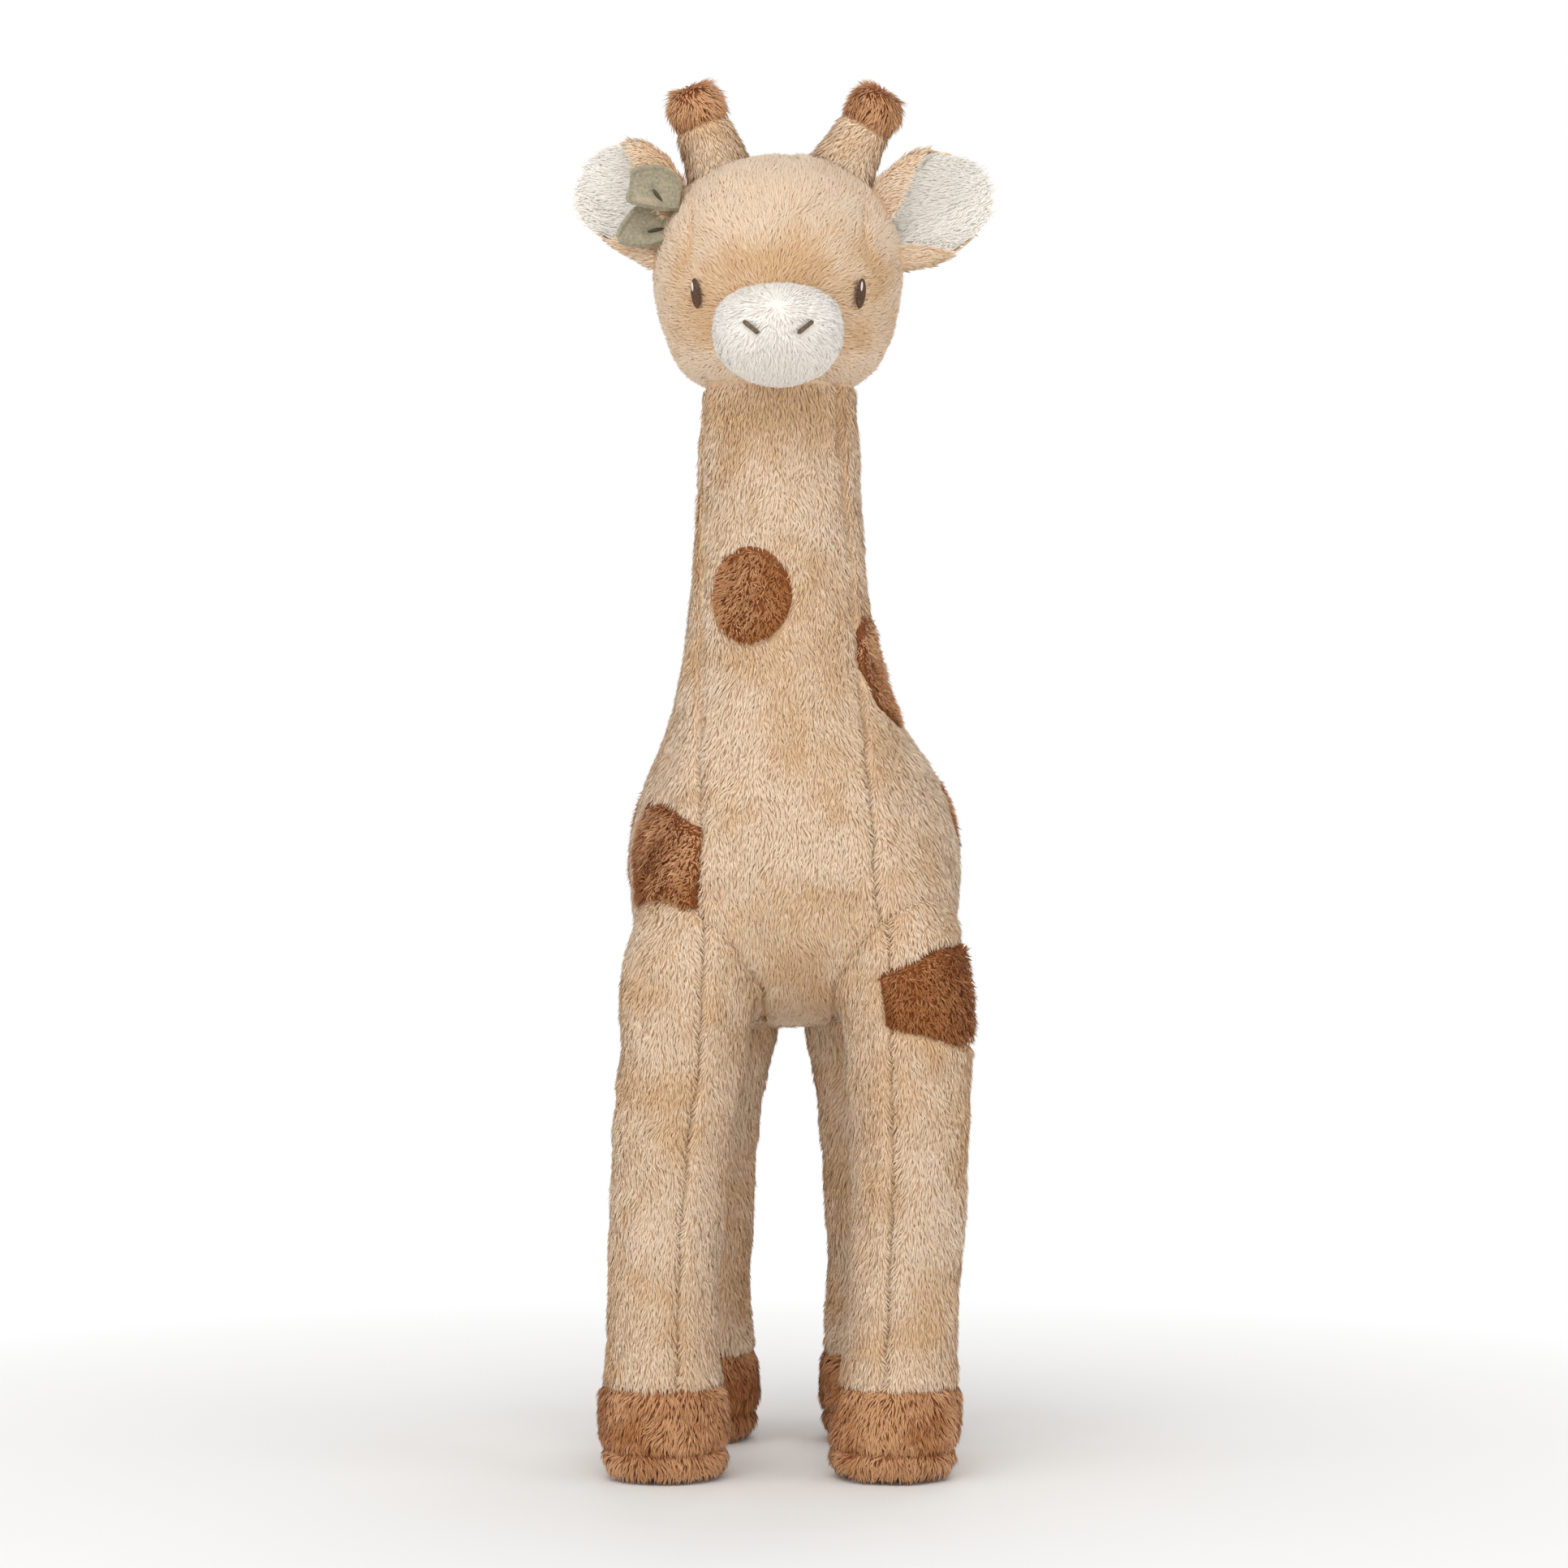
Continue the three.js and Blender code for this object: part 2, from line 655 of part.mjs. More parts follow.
function addTrunk() {
  const shell = trunkSolid(0).subtract(trunkSolid(-COVER_THICKNESS)).subtract(seatBall(SEAM_GAP));
  add("chest_and_belly_panel", shell.intersect(gussetSpace(0)), PLUSH_BEIGE);
  const sides = shell.subtract(gussetSpace(SEAM_GAP));
  add("side_panel_left", sides.intersect(slab("x", SEAM_GAP / 2, CUT_OVERRUN)), PLUSH_BEIGE);
  add("side_panel_right", sides.intersect(slab("x", -CUT_OVERRUN, -SEAM_GAP / 2)), PLUSH_BEIGE);
  const filling = trunkSolid(-COVER_THICKNESS - SEAM_GAP).subtract(seatBall(SEAM_GAP));
  add("body_filling", filling.intersect(below(SHOULDER_HEIGHT)), FIBRE_WHITE);
  add("neck_filling", filling.intersect(above(SHOULDER_HEIGHT)), FIBRE_WHITE);
}

// The patches end at the seams that they are sewn into.
function addPatches(limbs) {
  const gusset = gussetSpace(SEAM_GAP);
  for (const [name, patch] of Object.entries(PATCHES)) {
    const level = between(BELLY_HEIGHT, NECK_FORM_HEIGHT, patch.levelShare);
    const { x, y, z, halfWidth, halfDepth } = trunkRingAt(level);
    const bearing = THREE.MathUtils.degToRad(patch.bearingDeg);
    const facing = Math.atan2(Math.sin(bearing) * halfWidth, Math.cos(bearing) * halfDepth);
    const faced = { ...patch, bearingDeg: THREE.MathUtils.radToDeg(facing) };
    const whole = patchOn(trunkSolid, PATCH_THICKNESS, outwardPrism(faced, new THREE.Vector3(x, y, z)));
    const onItsPanel = name === "neck_spot_front" ? whole : whole.subtract(gusset);
    const beside = (rest, limb) => rest.subtract(limb.uncut(SEAM_GAP));
    add(name, limbs.reduce(beside, onItsPanel), PLUSH_BROWN);
  }
}

function limbAt(side, footSide, hipSide, y) {
  const rings = limbRings(side * footSide, TORSO_SWAY + side * hipSide, y);
  const uncut = (by) => layered(rings, LIMB_SEGMENTS, by);
  const formAt = (by) => uncut(by).subtract(trunkSolid(SEAM_GAP));
  const seam = side * (footSide - LEG_SEAM_INSET);
  const out = side > 0 ? [seam + SEAM_GAP / 2, CUT_OVERRUN] : [-CUT_OVERRUN, seam - SEAM_GAP / 2];
  const inward = side > 0 ? [-CUT_OVERRUN, seam - SEAM_GAP / 2] : [seam + SEAM_GAP / 2, CUT_OVERRUN];
  const shell = formAt(0).subtract(uncut(-COVER_THICKNESS));
  return { uncut, formAt, shell, outside: slab("x", ...out), inside: slab("x", ...inward) };
}

function addLimb(name, { formAt, shell, outside, inside }) {
  const leg = shell.intersect(above(HOOF_HEIGHT));
  add(`${name}_outer_panel`, leg.intersect(outside), PLUSH_BEIGE);
  add(`${name}_inner_panel`, leg.intersect(inside), PLUSH_BEIGE);
  const foot = shell.intersect(below(HOOF_HEIGHT));
  add(`${name}_hoof`, foot.intersect(above(SOLE_HEIGHT)), PLUSH_BROWN);
  add(`${name}_sole`, foot.intersect(below(SOLE_HEIGHT)), PLUSH_BROWN);
  add(`${name}_filling`, formAt(-COVER_THICKNESS - SEAM_GAP), FIBRE_WHITE);
}

function addLegs() {
  const limbs = {
    front_left_leg: limbAt(1, FRONT_FOOT_SIDE, FRONT_HIP_SIDE, -FRONT_LEG_FRONT),
    front_right_leg: limbAt(-1, FRONT_FOOT_SIDE, FRONT_HIP_SIDE, -FRONT_LEG_FRONT),
    rear_left_leg: limbAt(1, REAR_FOOT_SIDE, REAR_HIP_SIDE, REAR_LEG_BACK),
    rear_right_leg: limbAt(-1, REAR_FOOT_SIDE, REAR_HIP_SIDE, REAR_LEG_BACK),
  };
  for (const [name, limb] of Object.entries(limbs)) addLimb(name, limb);
  const { formAt, outside } = limbs.front_left_leg;
  const thigh = new THREE.Vector3(FRONT_FOOT_SIDE, -FRONT_LEG_FRONT, THIGH_PATCH.levelShare * HIP_HEIGHT);
  const prism = outwardPrism(THIGH_PATCH, thigh);
  add("thigh_spot_left", patchOn(formAt, PATCH_THICKNESS, prism).intersect(outside), PLUSH_BROWN);
  return Object.values(limbs);
}

// The space of the head's middle panel, over the crown from the face to the nape.
function crownSpace(by) {
  const half = CROWN_WIDTH_SHARE * HEAD_HALF_WIDTH + by;
  const low = headHeightAt(MUZZLE_HEIGHT_SHARE) - by;
  const corners = [
    [NECK_SWAY - half, low],
    [NECK_SWAY + half, low],
    [NECK_SWAY + half, low + CUT_OVERRUN],
    [NECK_SWAY - half, low + CUT_OVERRUN],
  ];
  return prismAlongY(corners, -CUT_OVERRUN, CUT_OVERRUN);
}

function addHead() {
  const shell = skullSolid(0).subtract(skullSolid(-COVER_THICKNESS));
  add("head_crown_panel", shell.intersect(crownSpace(0)), PLUSH_BEIGE);
  const cheeks = shell.subtract(crownSpace(SEAM_GAP));
  const leftOfMiddle = slab("x", NECK_SWAY + SEAM_GAP / 2, CUT_OVERRUN);
  const rightOfMiddle = slab("x", -CUT_OVERRUN, NECK_SWAY - SEAM_GAP / 2);
  add("head_side_panel_left", cheeks.intersect(leftOfMiddle), PLUSH_BEIGE);
  add("head_side_panel_right", cheeks.intersect(rightOfMiddle), PLUSH_BEIGE);
  add("head_filling", skullSolid(-COVER_THICKNESS - SEAM_GAP), FIBRE_WHITE);
}

function addFace() {
  const hidden = skullSolid(SEAM_GAP).add(throatCone());
  const muzzleAt = (by) => muzzleSolid(by).subtract(hidden);
  add("muzzle_cover", muzzleAt(0).subtract(muzzleSolid(-COVER_THICKNESS)), PLUSH_CREAM);
  add("muzzle_filling", muzzleAt(-COVER_THICKNESS - SEAM_GAP), FIBRE_WHITE);
  const eye = { outline: ring(EYE_SEGMENTS), width: EYE_WIDTH, height: EYE_HEIGHT };
  const eyeLevel = new THREE.Vector3(NECK_SWAY, -NECK_FRONT, headHeightAt(EYE_HEIGHT_SHARE));
  for (const [name, side] of Object.entries({ left: 1, right: -1 })) {
    const outward = outwardPrism({ ...eye, bearingDeg: side * EYE_BEARING_DEG }, eyeLevel);
    add(`eye_${name}`, patchOn(skullSolid, STITCH_THICKNESS, outward), THREAD_BROWN);
    const bar = { outline: BAR_SHARES, width: NOSTRIL_LENGTH, height: NOSTRIL_WIDTH, bearingDeg: 0 };
    const place = muzzleMiddle().add(new THREE.Vector3(side * NOSTRIL_SIDE, 0, NOSTRIL_RISE));
    const prism = outwardPrism({ ...bar, turnDeg: side * NOSTRIL_SLOPE_DEG }, place);
    add(`nostril_${name}`, patchOn(muzzleAt, STITCH_THICKNESS, prism), THREAD_BROWN);
  }
}

function addHorn(name, { sideShare, leanDeg }) {
  const rings = HORN_RING_SHARES.map(([height, radius]) => ({
    x: 0,
    y: 0,
    z: height * HORN_LENGTH,
    halfWidth: radius * HORN_RADIUS,
    halfDepth: radius * HORN_RADIUS,
    power: 2,
  }));
  const side = NECK_SWAY + sideShare * HEAD_HALF_WIDTH;
  const placed = new THREE.Matrix4()
    .makeTranslation(side, -NECK_FRONT - HORN_FRONT, headHeightAt(HORN_HEIGHT_SHARE))
    .multiply(new THREE.Matrix4().makeRotationX(THREE.MathUtils.degToRad(HORN_NOD_DEG)))
    .multiply(new THREE.Matrix4().makeRotationY(THREE.MathUtils.degToRad(leanDeg)));
  const formAt = (by) => layered(rings, HORN_SEGMENTS, by);
  const put = (solid) => solid.transform(placed.toArray()).subtract(skullSolid(SEAM_GAP));
  const shell = formAt(0).subtract(formAt(-COVER_THICKNESS));
  const tipSeam = HORN_LENGTH - HORN_TIP_LENGTH;
  add(`horn_cover_${name}`, put(shell.intersect(below(tipSeam))), PLUSH_BEIGE);
  add(`horn_tip_${name}`, put(shell.intersect(above(tipSeam))), PLUSH_BROWN);
  add(`horn_filling_${name}`, put(formAt(-COVER_THICKNESS - SEAM_GAP)), FIBRE_WHITE);
}

// The frame of the left ear's hinge: X runs out along the ear and Z up its root.
function earFrame() {
  const tilt = new THREE.Matrix4().makeRotationY(THREE.MathUtils.degToRad(-EAR_TILT_DEG));
  const side = NECK_SWAY + EAR_SIDE_SHARE * HEAD_HALF_WIDTH;
  const height = headHeightAt(EAR_HEIGHT_SHARE);
  return new THREE.Matrix4().makeTranslation(side, EAR_BACK - NECK_FRONT, height).multiply(tilt);
}

// Puts a piece made on the head's left side on its right side.
function onTheRight(solid) {
  return solid.mirror([1, 0, 0]).translate([2 * NECK_SWAY, 0, 0]);
}

function skullSweptByEar() {
  return sweptBy(skullSolid(SEAM_GAP), earFrame(), AXIS.z, [EAR_SWING_DEG[0], 0, EAR_SWING_DEG[1]]);
}

function addEars() {
  const blade = {
    ribs: EAR_RIB_SHARES,
    length: EAR_LENGTH,
    halfWidth: EAR_HALF_WIDTH,
    cup: EAR_CUP,
    segments: EAR_SEGMENTS,
  };
  const half = SEAM_GAP / 2;
  const back = { ...blade, near: half, far: half + EAR_BACK_THICKNESS };
  const lining = { ...blade, near: -half - EAR_LINING_THICKNESS, far: -half, inset: EAR_LINING_INSET };
  const obstacle = skullSweptByEar();
  const backPly = bladeSolid(back, earFrame()).subtract(obstacle);
  const liningPly = bladeSolid(lining, earFrame()).subtract(obstacle);
  add("ear_back_left", backPly, PLUSH_BEIGE);
  add("ear_lining_left", liningPly, PLUSH_CREAM);
  add("ear_back_right", onTheRight(backPly), PLUSH_BEIGE);
  add("ear_lining_right", onTheRight(liningPly), PLUSH_CREAM);
}

// A leaf's root lies in the ear's cup, a share of the cup's depth in front of the lining.
function leafFrame({ turnDeg, lift, forwardDeg, cupShare }) {
  const front = EAR_LINING_THICKNESS + SEAM_GAP + cupShare * EAR_CUP;
  return earFrame()
    .multiply(new THREE.Matrix4().makeTranslation(LEAF_ROOT_OUT, -front, lift))
    .multiply(new THREE.Matrix4().makeRotationY(THREE.MathUtils.degToRad(-turnDeg)))
    .multiply(new THREE.Matrix4().makeRotationZ(THREE.MathUtils.degToRad(-forwardDeg)));
}

function addLeaf(name, leaf) {
  const frame = leafFrame(leaf);
  const blade = {
    ribs: LEAF_RIB_SHARES,
    length: leaf.length,
    halfWidth: leaf.halfWidth,
    cup: LEAF_CUP,
    near: -LEAF_THICKNESS,
    far: 0,
    segments: LEAF_SEGMENTS,
  };
  const felt = bladeSolid(blade, frame);
  const swing = [LEAF_SWING_DEG[0], -LEAF_SWING_DEG[1] / 2, -LEAF_SWING_DEG[1]];
  const obstacle = sweptBy(skullSweptByEar(), frame, AXIS.z, swing);
  const length = leaf.length * (VEIN_END_SHARE - VEIN_START_SHARE);
  const vein = new THREE.BoxGeometry(length, VEIN_THICKNESS, VEIN_WIDTH);
  const clear = SEAM_GAP + LEAF_CUP * (VEIN_WIDTH / leaf.halfWidth) ** 2;
  const veinFront = LEAF_THICKNESS + clear + VEIN_THICKNESS / 2;
  vein.translate(leaf.length * VEIN_START_SHARE + length / 2, -veinFront, 0);
  add(`leaf_${name}`, onTheRight(felt.subtract(obstacle)), FELT_SAGE);
  add(`leaf_vein_${name}`, onTheRight(solidOf(vein.applyMatrix4(frame))), THREAD_BROWN);
}

function addTail() {
  const stuffed = (shares, radius, top, length) => {
    const rings = shares.map(([height, wide]) => ({
      x: 0,
      y: 0,
      z: between(top - length, top, height),
      halfWidth: wide * radius,
      halfDepth: wide * radius,
      power: 2,
    }));
    return formSolid(rings, TAIL_SEGMENTS, frame).subtract(obstacle);
  };
  const back = TORSO_BACK + TORSO_HALF_DEPTH;
  const height = between(BELLY_HEIGHT, SHOULDER_HEIGHT, TAIL_HEIGHT_SHARE);
  const frame = new THREE.Matrix4().makeTranslation(TORSO_SWAY, back + TAIL_RADIUS, height);
  const obstacle = sweptBy(trunkSolid(SEAM_GAP), frame, AXIS.x, [0, TAIL_LIFT_DEG / 2, TAIL_LIFT_DEG]);
  const rope = stuffed(TAIL_RING_SHARES, TAIL_RADIUS, TAIL_RADIUS, TAIL_LENGTH);
  const tuftTop = TAIL_RADIUS - TAIL_LENGTH - SEAM_GAP;
  const tuft = stuffed(TUFT_RING_SHARES, TAIL_TUFT_RADIUS, tuftTop, TAIL_TUFT_LENGTH);
  add("tail_cover", rope, PLUSH_BEIGE);
  add("tail_tuft", tuft, PLUSH_BROWN);
}

function addSeamThread() {
  const { radius, height } = threadLoop();
  const loop = new THREE.TorusGeometry(radius, SEAM_THREAD_RADIUS, SEAM_THREAD_SIDES, SEAM_THREAD_STEPS);
  add("neck_seam_thread", solidOf(loop.translate(NECK_SWAY, -NECK_FRONT, height)), THREAD_BROWN);
}

addTrunk();
addPatches(addLegs());
addHead();
addFace();
addHorn("left", HORNS.left);
addHorn("right", HORNS.right);
addEars();
addLeaf("upper", LEAVES.upper);
addLeaf("lower", LEAVES.lower);
addTail();
addSeamThread();

// The origin is the middle of the floor under the toy's bounding box.
const box = new THREE.Box3().setFromObject(toy);
const middle = box.getCenter(new THREE.Vector3());
toy.position.set(-middle.x, -middle.y, -box.min.z);

export default toy;
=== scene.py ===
"""A plush giraffe that stands on four legs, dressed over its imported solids.

Metres, +Z up, and the face looks along -Y. Left and right are the giraffe's own, so left is +X.
Each cover is a panel of knitted backing whose pile is made strand by strand.
"""

import json
import math

import bmesh
import bpy
import numpy as np
from bpy.props import FloatProperty, FloatVectorProperty, IntProperty, PointerProperty
from mathutils import Matrix, Vector


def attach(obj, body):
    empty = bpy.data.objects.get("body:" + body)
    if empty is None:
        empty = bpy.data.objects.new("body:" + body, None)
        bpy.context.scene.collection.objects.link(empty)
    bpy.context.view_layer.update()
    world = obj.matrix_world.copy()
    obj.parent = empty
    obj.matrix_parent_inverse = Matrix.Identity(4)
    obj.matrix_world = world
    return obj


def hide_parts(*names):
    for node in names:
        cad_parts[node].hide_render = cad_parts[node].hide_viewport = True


bl_info = {
    "name": "Plush giraffe",
    "version": (1, 0, 0),
    "blender": (4, 5, 0),
    "location": "View3D > Sidebar > Plush giraffe",
    "description": "Sews the plush covers of a standing giraffe over its packed frame",
    "category": "Object",
}

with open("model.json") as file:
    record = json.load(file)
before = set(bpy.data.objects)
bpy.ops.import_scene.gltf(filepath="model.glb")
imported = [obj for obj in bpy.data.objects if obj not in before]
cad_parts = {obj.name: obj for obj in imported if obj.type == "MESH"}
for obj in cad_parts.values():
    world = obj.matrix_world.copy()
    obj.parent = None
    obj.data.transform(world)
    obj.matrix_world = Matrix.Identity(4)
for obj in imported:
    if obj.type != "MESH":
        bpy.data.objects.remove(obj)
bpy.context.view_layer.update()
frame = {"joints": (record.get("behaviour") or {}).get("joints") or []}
JOINTS = {joint["name"]: joint for joint in frame["joints"]}

MM = 0.001
SIDES = (("left", 1), ("right", -1))

# Up the torso: height, half width, half depth, the way from torso to neck, squareness
TORSO_RING_SHARES = (
    (0.0, 0.05, 0.05, 0.0, 0.0),
    (0.016, 0.26, 0.32, 0.0, 0.3),
    (0.05, 0.46, 0.55, 0.0, 0.5),
    (0.14, 0.79, 0.8, 0.0, 0.7),
    (0.265, 0.96, 0.945, 0.0, 0.9),
    (0.4, 1.0, 1.0, 0.0, 1.0),
    (0.54, 0.975, 0.97, 0.03, 0.9),
    (0.67, 0.885, 0.868, 0.19, 0.6),
    (0.78, 0.762, 0.736, 0.41, 0.4),
    (0.88, 0.664, 0.608, 0.645, 0.2),
    (0.985, 0.598, 0.52, 0.81, 0.1),
)
TORSO_SQUARENESS = 0.9
# Up the neck: height, radius from the root's to the top's, the way from torso to neck
NECK_RING_SHARES = ((0.175, 0.31, 0.91), (0.42, 0.58, 0.95), (0.66, 0.78, 0.97), (1.0, 1.0, 1.0))
# The chest panel's right and left sides, as shares of the half width at three heights
CHEST_TOP_SHARES = (-0.916, 0.7)
CHEST_LOW_SHARES = (-0.557, 0.492)
CHEST_POINT_SHARES = (-0.19, 0.23)
CHEST_CORNER_SHARE = 0.265
CHEST_POINT_SHARE = 0.14
BELLY_STRIP_SHARE = 0.81
# Up a hoof, then up a leg: height and radius
HOOF_RING_SHARES = ((0.0, 0.06), (0.0, 0.5), (0.01, 0.78), (0.09, 0.9), (0.36, 1.0), (1.0, 0.95))
LEG_RING_SHARES = (
    (0.05, 1.0),
    (0.3, 1.0),
    (0.5, 1.05),
    (0.66, 1.12),
    (0.78, 1.15),
    (0.87, 1.0),
    (0.96, 0.45),
)
# A rear thigh's extra radius at the hip as a share of the leg's, and the level that it starts from
THIGH_SHARE = 0.26
THIGH_START, THIGH_SPAN = 0.45, 0.33
# How each leg's stuffing has settled, by side and whether in front: the foot's shift, the bow, and how
# many times the bow fits the leg
SETTLED_LEGS = {
    (1, True): (-4.2 * MM, 4.8 * MM, 1),
    (-1, True): (0.0, -3.8 * MM, 1.4),
    (1, False): (2.0 * MM, -2.5 * MM, 1),
    (-1, False): (2.4 * MM, 0.5 * MM, 1),
}
# Round the seat of the head as shares of its rim, then up the head: height and half width
SEAT_RING_SHARES = (0.06, 0.5, 1.0)
HEAD_RING_SHARES = (
    (0.26, 0.9),
    (0.36, 0.965),
    (0.52, 1.0),
    (0.67, 0.965),
    (0.77, 0.885),
    (0.86, 0.77),
    (0.93, 0.61),
    (0.98, 0.37),
    (1.0, 0.12),
)
HORN_RING_SHARES = (
    (0.0, 1.34),
    (0.25, 1.22),
    (0.45, 1.06),
    (0.64, 0.96),
    (0.88, 0.9),
    (0.97, 0.66),
    (1.0, 0.1),
)
# Each horn: its side as a share of the head's half width, its lean in degrees, and how far it has sunk in
HORNS = {"left": (0.38, 28, 0.5 * MM), "right": (-0.39, -20, 1.8 * MM)}
# Along each ear, in shares of its length and half width: place, bottom, bottom lip, top, top lip. A lip is
# the beige back, turned over the edge to the front
EAR_RIBS = {
    "left": (
        (-0.1, -0.84, 0.4, 0.5, 0.8),
        (0.0, -0.93, 0.42, 0.66, 0.74),
        (0.1, -0.95, 0.4, 0.78, 0.64),
        (0.22, -0.95, 0.34, 0.9, 0.4),
        (0.36, -0.92, 0.22, 0.99, 0.16),
        (0.5, -0.84, 0.08, 0.96, 0.04),
        (0.67, -0.68, 0.03, 0.85, 0.03),
        (0.8, -0.46, 0.03, 0.7, 0.03),
        (0.89, -0.24, 0.03, 0.5, 0.03),
        (0.94, 0.02, 0.03, 0.22, 0.03),
    ),
    "right": (
        (-0.1, -0.82, 0.4, 0.56, 0.85),
        (0.0, -0.9, 0.4, 0.74, 0.82),
        (0.125, -0.85, 0.38, 0.96, 0.9),
        (0.25, -0.77, 0.3, 1.1, 0.72),
        (0.36, -0.69, 0.2, 1.16, 0.4),
        (0.45, -0.62, 0.1, 1.14, 0.08),
        (0.62, -0.49, 0.03, 1.02, 0.03),
        (0.73, -0.34, 0.03, 0.84, 0.03),
        (0.81, -0.14, 0.03, 0.56, 0.03),
        (0.85, 0.06, 0.03, 0.26, 0.03),
    ),
}
# Each leaf: out, up and forward of the ear's root in millimetres, turned down and swung forward in degrees,
# then its length and half width in millimetres
LEAVES = {"upper": (-2.2, 6.0, 16.5, 3, 8, 17.4, 7), "lower": (-2, 2.0, 11, 35.5, 8, 22.7, 7)}
# Along each leaf: place as a share of its length, then bottom and top edges as shares of its half width
LEAF_RIBS = {
    "upper": (
        (-0.06, -0.55, 0, 0.6),
        (0.06, -0.56, 0, 0.85),
        (0.25, -0.6, 0, 1.2),
        (0.5, -0.64, 0, 1.36),
        (0.8, -0.6, 0, 1.2),
        (0.95, -0.5, 0, 0.98),
        (1.0, -0.3, 0, 0.82),
    ),
    "lower": (
        (-0.1, -1.1, 0, 0.4),
        (0.12, -1.2, 0, 0.76),
        (0.38, -1.2, 0, 0.88),
        (0.52, -1.14, 0, 0.84),
        (0.7, -0.95, 0, 0.62),
        (0.9, -0.58, 0, 0.22),
        (1.0, -0.25, 0, -0.1),
    ),
}
# The ends of each leaf's vein: out and up from its root in millimetres
VEINS = {"upper": ((4.6, -2.6), (9.0, 1.8)), "lower": ((6.2, -4.3), (12.2, -3.0))}
# The stitched pads of the eyes: their rise, the width of two threads, how they lean and their thickness
PAD_RISE, PAD_RIDGE, PAD_TILT, PAD_THICKNESS = 0.7 * MM, 0.42 * MM, math.radians(25), 0.8 * MM
# The same for the white glint on them, and how far out it is stitched
GLINT_RISE, GLINT_RIDGE, GLINT_THICKNESS, GLINT_OUT = 0.35 * MM, 0.4 * MM, 0.4 * MM, 0.72 * MM
# The same for the nostrils, and how far they are drawn in
BAR_RISE, BAR_RIDGE, BAR_TILT, BAR_THICKNESS = 0.8 * MM, 0.7 * MM, math.radians(60), 1.4 * MM
BAR_SUNK = 0.9 * MM
# How high single threads stand on a pad
THREAD_RELIEF = 0.09 * MM
# The thread under the head: its own radius, how far inside the neck's it runs, and how far below the head
THREAD_RADIUS, THREAD_INSET, THREAD_DROP = 0.55 * MM, 3.0 * MM, 1.1 * MM
# How deep the vein pinches the felt, and how far the stitch round the rim stands out
LEAF_PINCH, LEAF_RIM_STITCH = 1.1 * MM, 0.35 * MM
# Along a stitch: place and radius
STITCH_SHARES = ((0.0, 0.1), (0.05, 0.7), (0.15, 1.0), (0.85, 1.0), (0.95, 0.7), (1.0, 0.1))
# Up the tail: height, radius, and how far it leans to the rump, so that it stays sewn on when it swings
TAIL_RING_SHARES = (
    (0.0, 0.2, 0.0),
    (0.02, 0.8, 0.0),
    (0.3, 0.95, 0.0),
    (0.76, 1.0, 0.0),
    (0.9, 0.95, 0.35),
    (1.0, 0.4, 1.0),
)
TUFT_RING_SHARES = ((0.0, 0.1), (0.12, 0.62), (0.5, 1.0), (0.85, 0.82), (1.0, 0.3))
# How far up the torso the tail starts
TAIL_LEVEL_SHARE = 0.5
TAIL_RADIUS, TAIL_LENGTH = 5.2 * MM, 42 * MM
TUFT_RADIUS, TUFT_LENGTH = 8.5 * MM, 26 * MM
# How far the tail runs down into its tuft, up the rump and in towards it
TAIL_IN_TUFT, TAIL_ROOT_RISE, TAIL_ROOT_LEAN = 5 * MM, 6.5 * MM, 11 * MM
# The sections along an ear, and the first of them whose rim shows the lining alone
EAR_SECTIONS, EAR_FAR_SECTION = 30, 14
BACKING_THICKNESS = 0.9 * MM
# How deep the backing and the pile of a cover reach into the head, where they are sewn to it
BACKING_REACH, PILE_REACH = 5 * MM, 1.5 * MM
# The size of the mesh under the pile of the trunk, the legs, the head, its small parts and the tail, and
# that of the fillings
TRUNK_STEP, LEG_STEP, HEAD_STEP, SMALL_STEP, TAIL_STEP = 2.4 * MM, 2.2 * MM, 2.0 * MM, 1.6 * MM, 1.4 * MM
FILLING_STEP = 3.2 * MM
# The fillings: the gap between body and neck, how many rings they keep, how their ends narrow, and how far
# inside its cover a horn's lies
FILLINGS_APART, FILLING_RINGS, FILLING_ENDS = 0.2 * MM, 24, (0.04, 0.75)
HORN_FILLING_INSET = 5 * MM
# How deep pile reaches elsewhere: the trunk's into the head and into a leg, a leg's and the tail's into the
# trunk, and the head's into the muzzle. A leg's backing reaches deeper
TRUNK_IN_HEAD, TRUNK_IN_LEG, LEG_IN_TRUNK, TAIL_IN_TRUNK = 3.4 * MM, 2.2 * MM, 2.4 * MM, 3.5 * MM
HEAD_IN_MUZZLE, LEG_BACKING_REACH = 3.4 * MM, 4.5 * MM
# How far under the outline of the tail and its tuft their backing lies
TAIL_PILE_DEPTH, TUFT_PILE_DEPTH = 2 * MM, 3 * MM
# Where the backing and the pile of a sole start, above the floor that would press them flat
FLOOR_BACKING_GAP, FLOOR_GAP = 0.8 * MM, 4.2 * MM
# How far below the head painted shadow falls on the neck, drawn with the darker, oranger brushed colour
CHIN_SHADOW_REACH = 26 * MM
# Where the pile of the muzzle parts: in front of and above its middle
PARTING_FRONT, PARTING_UP = 22 * MM, 10 * MM
